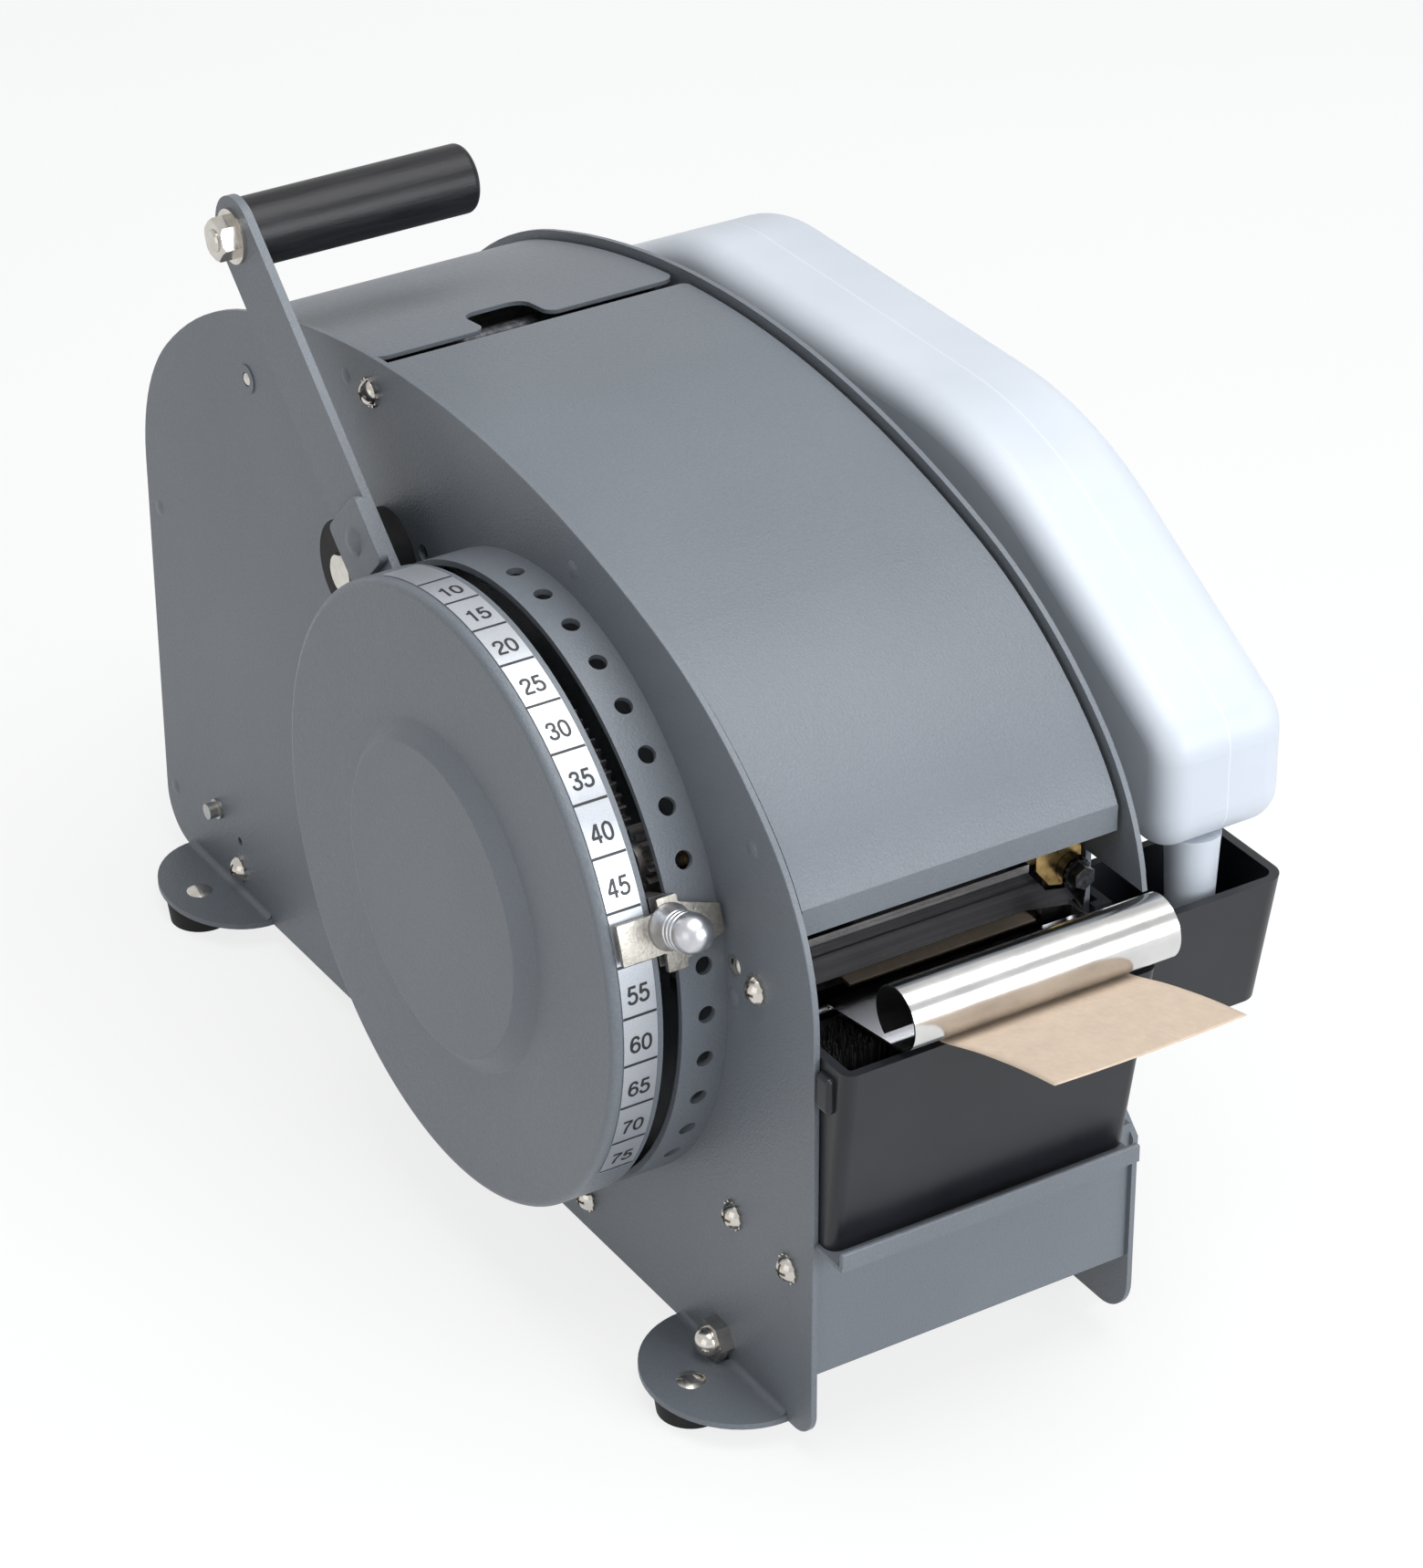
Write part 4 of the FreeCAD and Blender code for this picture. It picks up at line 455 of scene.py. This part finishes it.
def finish_piece(piece, body, slot, *replaced):
    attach(piece, body)
    if replaced:
        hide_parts(*replaced)


def smooth_path(corners, count):
    """Points on a curve that passes through the corners: a cubic for each four neighbours."""
    p = np.asarray(corners, float)
    p = np.vstack((2 * p[0] - p[1], p, 2 * p[-1] - p[-2]))
    t = np.linspace(0, 1, count, endpoint=False)[:, None]
    out = []
    for a, b, c, d in zip(p, p[1:], p[2:], p[3:]):
        out.append(0.5 * (2 * b + (c - a) * t + (2 * a - 5 * b + 4 * c - d) * t ** 2
                          + (3 * b - a - 3 * c + d) * t ** 3))
    return np.vstack(out + [p[-2:-1]])


# Scale figures and lines

scale_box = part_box("scale_label")
label_r = np.hypot(*(np.array([v.co for v in nodes["scale_label"].data.vertices])[:, 1:]
                     - (dial_y, dial_z)).T).max()
# Degrees about the dial axis: the dial holes' step and the line above the first figure
hole_step, first_line = 9.386, 99.03
figure_count, first_figure, figure_by = 14, 10, 5
# Share of a cell from its line down to the figure's middle
figure_drop = 0.58
figure_lift, stroke_lift, line_lift = 0.00006, 0.00001, 0.00005
line_half_w, line_share = 0.00045, 0.98


def wrap_on_dial(flat, centre_deg, lift):
    """Flat points (x across, y up) laid round the dial: y becomes an angle about the dial axis."""
    angle = math.radians(centre_deg) + flat[:, 1] / label_r
    reach = label_r + lift
    mid = (scale_box[0].x + scale_box[1].x) / 2
    return np.stack((mid + flat[:, 0], dial_y - reach * np.cos(angle), dial_z + reach * np.sin(angle)), -1)


# Each figure is a few strokes in a cell one unit high: two points make a straight one, more a smooth one
strokes = {
    "0": [[(0.3, 0.93), (0.12, 0.8), (0.07, 0.5), (0.12, 0.2), (0.3, 0.07), (0.48, 0.2), (0.53, 0.5),
           (0.48, 0.8), (0.3, 0.93)]],
    "1": [[(0.36, 0.0), (0.36, 1.0)], [(0.12, 0.76), (0.27, 0.8), (0.36, 0.95)]],
    "2": [[(0.08, 0.68), (0.13, 0.86), (0.31, 0.93), (0.48, 0.86), (0.5, 0.66), (0.37, 0.47), (0.17, 0.28),
           (0.09, 0.07)], [(0.04, 0.07), (0.56, 0.07)]],
    "3": [[(0.08, 0.72), (0.15, 0.88), (0.3, 0.93), (0.46, 0.86), (0.48, 0.7), (0.41, 0.58), (0.26, 0.53)],
          [(0.26, 0.53), (0.43, 0.48), (0.52, 0.32), (0.47, 0.14), (0.3, 0.07), (0.13, 0.13), (0.07, 0.3)]],
    "4": [[(0.42, 0.0), (0.42, 0.98)], [(0.38, 0.95), (0.05, 0.3)], [(0.02, 0.29), (0.58, 0.29)]],
    "5": [[(0.13, 0.93), (0.52, 0.93)], [(0.17, 0.97), (0.1, 0.5)],
          [(0.09, 0.5), (0.29, 0.61), (0.47, 0.53), (0.53, 0.34), (0.46, 0.14), (0.28, 0.07), (0.12, 0.12),
           (0.06, 0.26)]],
    "6": [[(0.5, 0.75), (0.43, 0.89), (0.29, 0.93), (0.14, 0.82), (0.07, 0.52), (0.1, 0.22), (0.3, 0.07),
           (0.48, 0.16), (0.53, 0.34), (0.46, 0.52), (0.3, 0.58), (0.15, 0.51), (0.08, 0.36)]],
    "7": [[(0.04, 0.93), (0.56, 0.93)], [(0.53, 0.9), (0.38, 0.67), (0.28, 0.4), (0.23, 0.0)]],
}
figure_h = 0.0062
# In units of the figure's height
stroke_w, figure_step, cell_middle = 0.15, 0.66, (0.3, 0.5)


def ribbon(path):
    """Flat band of even width along a path, its two edges lying on the path's normals."""
    line = np.asarray(path, float) if len(path) == 2 else smooth_path(path, 5)
    along = np.gradient(line, axis=0)
    if len(path) > 2 and np.allclose(line[0], line[-1]):
        along[0] = along[-1] = line[1] - line[-2]
    side = np.stack((-along[:, 1], along[:, 0]), -1) / np.linalg.norm(along, axis=1)[:, None]
    edges = np.stack((line - side * stroke_w / 2, line + side * stroke_w / 2), 1)
    faces = [(2 * k, 2 * k + 1, 2 * k + 3, 2 * k + 2) for k in range(len(line) - 1)]
    return edges.reshape(-1, 2), faces


def scale_figures():
    """Numerals made of flat strokes, bent to the dial; each sits in the lower half of its cell."""
    made = []
    for i in range(figure_count):
        centre = first_line - hole_step * (i + figure_drop)
        for place_in_text, figure in enumerate(str(first_figure + figure_by * i)):
            for number, path in enumerate(strokes[figure]):
                flat, faces = ribbon(path)
                flat = flat - cell_middle
                flat[:, 0] += (place_in_text - 0.5) * figure_step
                lift = figure_lift + stroke_lift * number
                made.append((wrap_on_dial(flat * figure_h, centre, lift), faces))
    return made


def scale_lines():
    """Lines between the cells: short strips across the label, each a grid two wide and three high."""
    half = (scale_box[1].x - scale_box[0].x) / 2
    xs, ys = (-half, half * line_share), (-line_half_w, 0, line_half_w)
    flat = np.stack(np.meshgrid(xs, ys), -1).reshape(-1, 2)
    return [(wrap_on_dial(flat, first_line - hole_step * i, line_lift), [(0, 1, 3, 2), (2, 3, 5, 4)])
            for i in range(figure_count + 1)]


def print_scale(ink):
    """All figures and lines in one piece."""
    points, faces = [], []
    for some_points, some_faces in scale_figures() + scale_lines():
        faces += [[len(points) + k for k in face] for face in some_faces]
        points += some_points.tolist()
    finish_piece(new_piece("scale_print", points, faces, ink), "frame", "label_silver")


# Paper strip, knob and brush

def paper_strip(material):
    """Cut strip: a thin closed sheet on a smooth curve in y and z, its outer edges curling up a little
    towards the free end (height grows with the square of the distance from the middle)."""
    path = smooth_path([(-127.5, 4.85), (-145.0, 7.4), (-162.4, 9.9), (-170.0, 11.6), (-186.0, 17.2),
                        (-201.6, 21.8), (-214.0, 24.9), (-225.4, 27.3)], 9)
    thickness, columns = 0.24, 25
    curl_start_y, curl_length, curl_h = -170, 56, 0.7
    slope = np.gradient(path, axis=0)
    normal = np.stack((slope[:, 1], -slope[:, 0]), -1) / np.linalg.norm(slope, axis=1)[:, None]
    loop = np.vstack((path, (path - normal * thickness)[::-1]))
    free = np.clip((curl_start_y - loop[:, 0]) / curl_length, 0, 1)
    sides = [(corner.x - plate_x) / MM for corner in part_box("tape_strip")]
    lift = (np.linspace(-1, 1, columns) ** 2)[:, None] * free[None, :] * curl_h
    points = np.zeros((columns, len(loop), 3))
    points[:, :, 0] = np.linspace(*sides, columns)[:, None]
    points[:, :, 1] = loop[None, :, 0]
    points[:, :, 2] = loop[None, :, 1] + lift
    piece = ring_mesh("paper_strip", place_all(points), material, caps=True)
    finish_piece(piece, "frame", "kraft_paper", "tape_strip")


def knob_piece(material):
    """Knob turned about the selector's radius: peg, flared foot, three rounded grooves, domed top."""
    out = Vector(joints["pointer_slide"]["axis"]).normalized()
    # Radius of the knob's foot about the dial axis, then the knob's own sizes
    base, knob_x = 108.9, -19.6
    body_r, peg_r, peg_end = 6.4, 2.0, -18.6
    first_groove, groove_step, body_top, dome_start = 6.9, 2.2, 13.4, 13.9
    dome_steps, around_count = 12, 72
    prof = [(0.0, peg_end), (peg_r, peg_end), (peg_r, -0.02), (7.5, 0.0), (7.6, 0.25), (7.3, 1.0),
            (6.9, 2.2), (6.5, 3.8), (body_r, 5.4)]
    groove = [(-0.5, 0.0), (-0.4, 0.06), (-0.26, 0.26), (-0.1, 0.34), (0.1, 0.34), (0.26, 0.26),
              (0.4, 0.06), (0.5, 0.0)]
    prof += [(body_r - depth, first_groove + groove_step * i + step)
             for i in range(3) for step, depth in groove]
    prof.append((body_r, body_top))
    for t in np.linspace(0, math.pi / 2, dome_steps + 1)[1:]:
        prof.append((body_r * math.cos(t), dome_start + body_r * math.sin(t)))
    prof = np.array(prof)
    turn = np.linspace(0, 2 * math.pi, around_count, endpoint=False)
    side = np.array((0, -out.z, out.y))
    radial = np.cos(turn)[:, None] * np.array((1, 0, 0)) + np.sin(turn)[:, None] * side
    points = (prof[:, 0, None, None] * radial[None]
              + (base + prof[:, 1])[:, None, None] * np.array(out) + np.array((knob_x, 0, 0)))
    piece = ring_mesh("knob_turned", place_all(points)[:, ::-1], material)
    finish_piece(piece, "pointer", "knob_aluminium", "selector_knob")


def brush_piece(material):
    """Bristle field: slender three-sided tufts on a jittered grid, each leaning a little."""
    low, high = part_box("brush_bristles")
    rng = np.random.default_rng(7)
    cols, rows, edge, jitter, lean_by = 96, 20, 0.001, 0.00055, 0.0009
    root_r, tip_r, back_drop, top_gap, uneven = 0.00042, 0.0002, 0.0036, 0.0004, 0.0014
    # Radians from corner to corner, and a turn that changes along the brush
    corner_turn, turn_along = 2.1, 40
    gx = np.linspace(low.x + edge, high.x - edge, cols)
    gy = np.linspace(low.y + edge, high.y - edge, rows)
    spots = np.stack(np.meshgrid(gx, gy), -1).reshape(-1, 2)
    spots += rng.uniform(-jitter, jitter, spots.shape)
    lean = rng.normal(0, lean_by, spots.shape)
    share = (high.y - spots[:, 1]) / (high.y - low.y)
    top = high.z - back_drop * (1 - share) - top_gap - rng.uniform(0, uneven, len(spots))
    verts, faces = [], []
    for (x, y), (lx, ly), z in zip(spots, lean, top):
        n = len(verts)
        for height, radius, part in ((low.z, root_r, 0.0), (z, tip_r, 1.0)):
            for k in range(3):
                a = corner_turn * k + turn_along * x
                verts.append((min(max(x + lx * part + radius * math.cos(a), low.x), high.x),
                              min(max(y + ly * part + radius * math.sin(a), low.y), high.y), height))
        faces += [(n + k, n + (k + 1) % 3, n + 3 + (k + 1) % 3, n + 3 + k) for k in range(3)]
        faces += [(n + 2, n + 1, n), (n + 3, n + 4, n + 5)]
    finish_piece(new_piece("brush_tufts", verts, faces, material), "frame", "bristle", "brush_bristles")


# Stage and lights

def background_rays(tree):
    """Socket that is 1 for the rays that should meet a white background: camera, glossy, transmission."""
    path = tree.nodes.new("ShaderNodeLightPath")
    seen = path.outputs["Is Camera Ray"]
    for ray in ("Is Glossy Ray", "Is Transmission Ray"):
        either = tree.nodes.new("ShaderNodeMath")
        either.operation = "MAXIMUM"
        tree.links.new(seen, either.inputs[0])
        tree.links.new(path.outputs[ray], either.inputs[1])
        seen = either.outputs[0]
    return seen


def stage_floor():
    """Large pale floor under the feet: mostly white to the camera and to mirrors, plain to other rays."""
    half_size, white_share = 6.0, 0.8
    f = Finish("floor_paper", (0.92, 0.92, 0.92), 0.9)
    f.feed("Base Color", f.ramp(f.noise(3, 2), [(0.3, (0.84, 0.84, 0.84)), (0.7, (0.87, 0.87, 0.87))]))
    white = f.add("ShaderNodeEmission", None, {"Color": (1, 1, 1, 1), "Strength": 1.0})
    share = Wire(f, background_rays(f.tree)) * white_share
    mixed = f.add("ShaderNodeMixShader", None, {0: share, 1: Wire(f, f.shader.outputs[0]), 2: white})
    f.tree.links.new(mixed.socket, f.tree.nodes["Material Output"].inputs[0])
    corners = [(x * half_size, y * half_size, 0) for x, y in ((-1, -1), (1, -1), (1, 1), (-1, 1))]
    new_piece("floor", corners, [(0, 1, 2, 3)], f.material)


def area_light(name, spot, target, size, power, colour=(1, 1, 1)):
    data = bpy.data.lights.new(name, "AREA")
    data.shape = "RECTANGLE"
    data.size, data.size_y = size
    data.energy = power
    data.color = colour
    lamp = bpy.data.objects.new(name, data)
    scene.collection.objects.link(lamp)
    lamp.location = spot
    lamp.rotation_mode = "QUATERNION"
    lamp.rotation_quaternion = (Vector(target) - Vector(spot)).to_track_quat("-Z", "Y")


def studio():
    """Dim even surround that looks white behind the object, and three soft lights."""
    world = bpy.data.worlds.new("studio")
    world.use_nodes = True
    tree = world.node_tree
    tree.nodes.clear()
    seen = background_rays(tree)
    soft = tree.nodes.new("ShaderNodeBackground")
    soft.inputs["Color"].default_value = (0.9, 0.95, 1.0, 1)
    soft.inputs["Strength"].default_value = 0.34
    white = tree.nodes.new("ShaderNodeBackground")
    white.inputs["Strength"].default_value = 1.0
    mix = tree.nodes.new("ShaderNodeMixShader")
    out = tree.nodes.new("ShaderNodeOutputWorld")
    tree.links.new(seen, mix.inputs[0])
    tree.links.new(soft.outputs[0], mix.inputs[1])
    tree.links.new(white.outputs[0], mix.inputs[2])
    tree.links.new(mix.outputs[0], out.inputs[0])
    scene.world = world
    area_light("top_softbox", (0.1, -0.35, 1.7), (0.0, 0.0, 0.15), (1.6, 1.2), 27)
    area_light("front_softbox", (0.5, -1.9, 0.75), (0.0, -0.1, 0.12), (1.2, 1.0), 28, (0.92, 0.96, 1.0))
    area_light("left_fill", (-1.9, -0.6, 0.6), (-0.05, 0.0, 0.15), (1.4, 1.4), 4)
    scene.view_settings.view_transform = "Standard"


photo_camera()
stage_floor()
studio()

dress(["side_plate_left", "side_plate_right", "front_panel", "floor_pan", "back_panel", "dial_ring",
       "dial_cover", "lid", "front_cover", "flush_rivets", "bottle_brackets", "lever_bar",
       "lever_stiffener", "lever_rivet"], machine_paint())
dress(["bright_rivets", "dome_nuts", "bumper_bolt", "plate_screws", "star_washers", "foot_rivets",
       "grip_bolt", "grip_nut"], nickel())
dress(["roll_guides", "tape_table", "screw_nuts", "dial_post", "pressure_axle", "roller_axles",
       "feed_shaft", "lever_hub", "main_gear", "pinion", "curl_mount", "selector_arm"], zinc_steel())
dress(["curl_plate"], polished_sheet())
dress(["fixed_blade"], blade_steel("bar_steel", (0.36, 0.36, 0.37)))
# The moving blade's near-black steel colour is painted shade: it sits in the dark under the front cover.
dress(["moving_blade"], blade_steel("blade_steel", (0.07, 0.07, 0.075)))
dress(["pointer_plate"], satin_nickel())
knob_metal = turned_aluminium()
dress(["selector_knob"], knob_metal)
dress(["scale_label"], label_silver())
dress(["pivot_bushing", "feed_bushings"], brass())
# The cross bars get this near-black finish as painted shade, for the dark they show through the lid's
# notch.
dress(["pivot_bolt", "cross_bars"], black_steel_and_painted_shade())
dress(["rubber_feet", "lever_bumper", "feed_roller", "pressure_roller"], black_rubber())
dress(["water_tank", "brush_block", "bottle_cap"], tank_plastic())
dress(["water_bottle"], bottle_plastic())
dress(["support_roller_back", "support_roller_front"], roller_plastic())
dress(["grip"], lacquered_wood())
kraft = kraft_paper()
dress(["tape_web", "tape_strip"], kraft)
dress(["tape_roll"], wound_paper())
dress(["roll_core"], cardboard())
bristle = bristle_black()
dress(["brush_bristles"], bristle)
print_scale(printing_ink())
paper_strip(kraft)
knob_piece(knob_metal)
brush_piece(bristle)
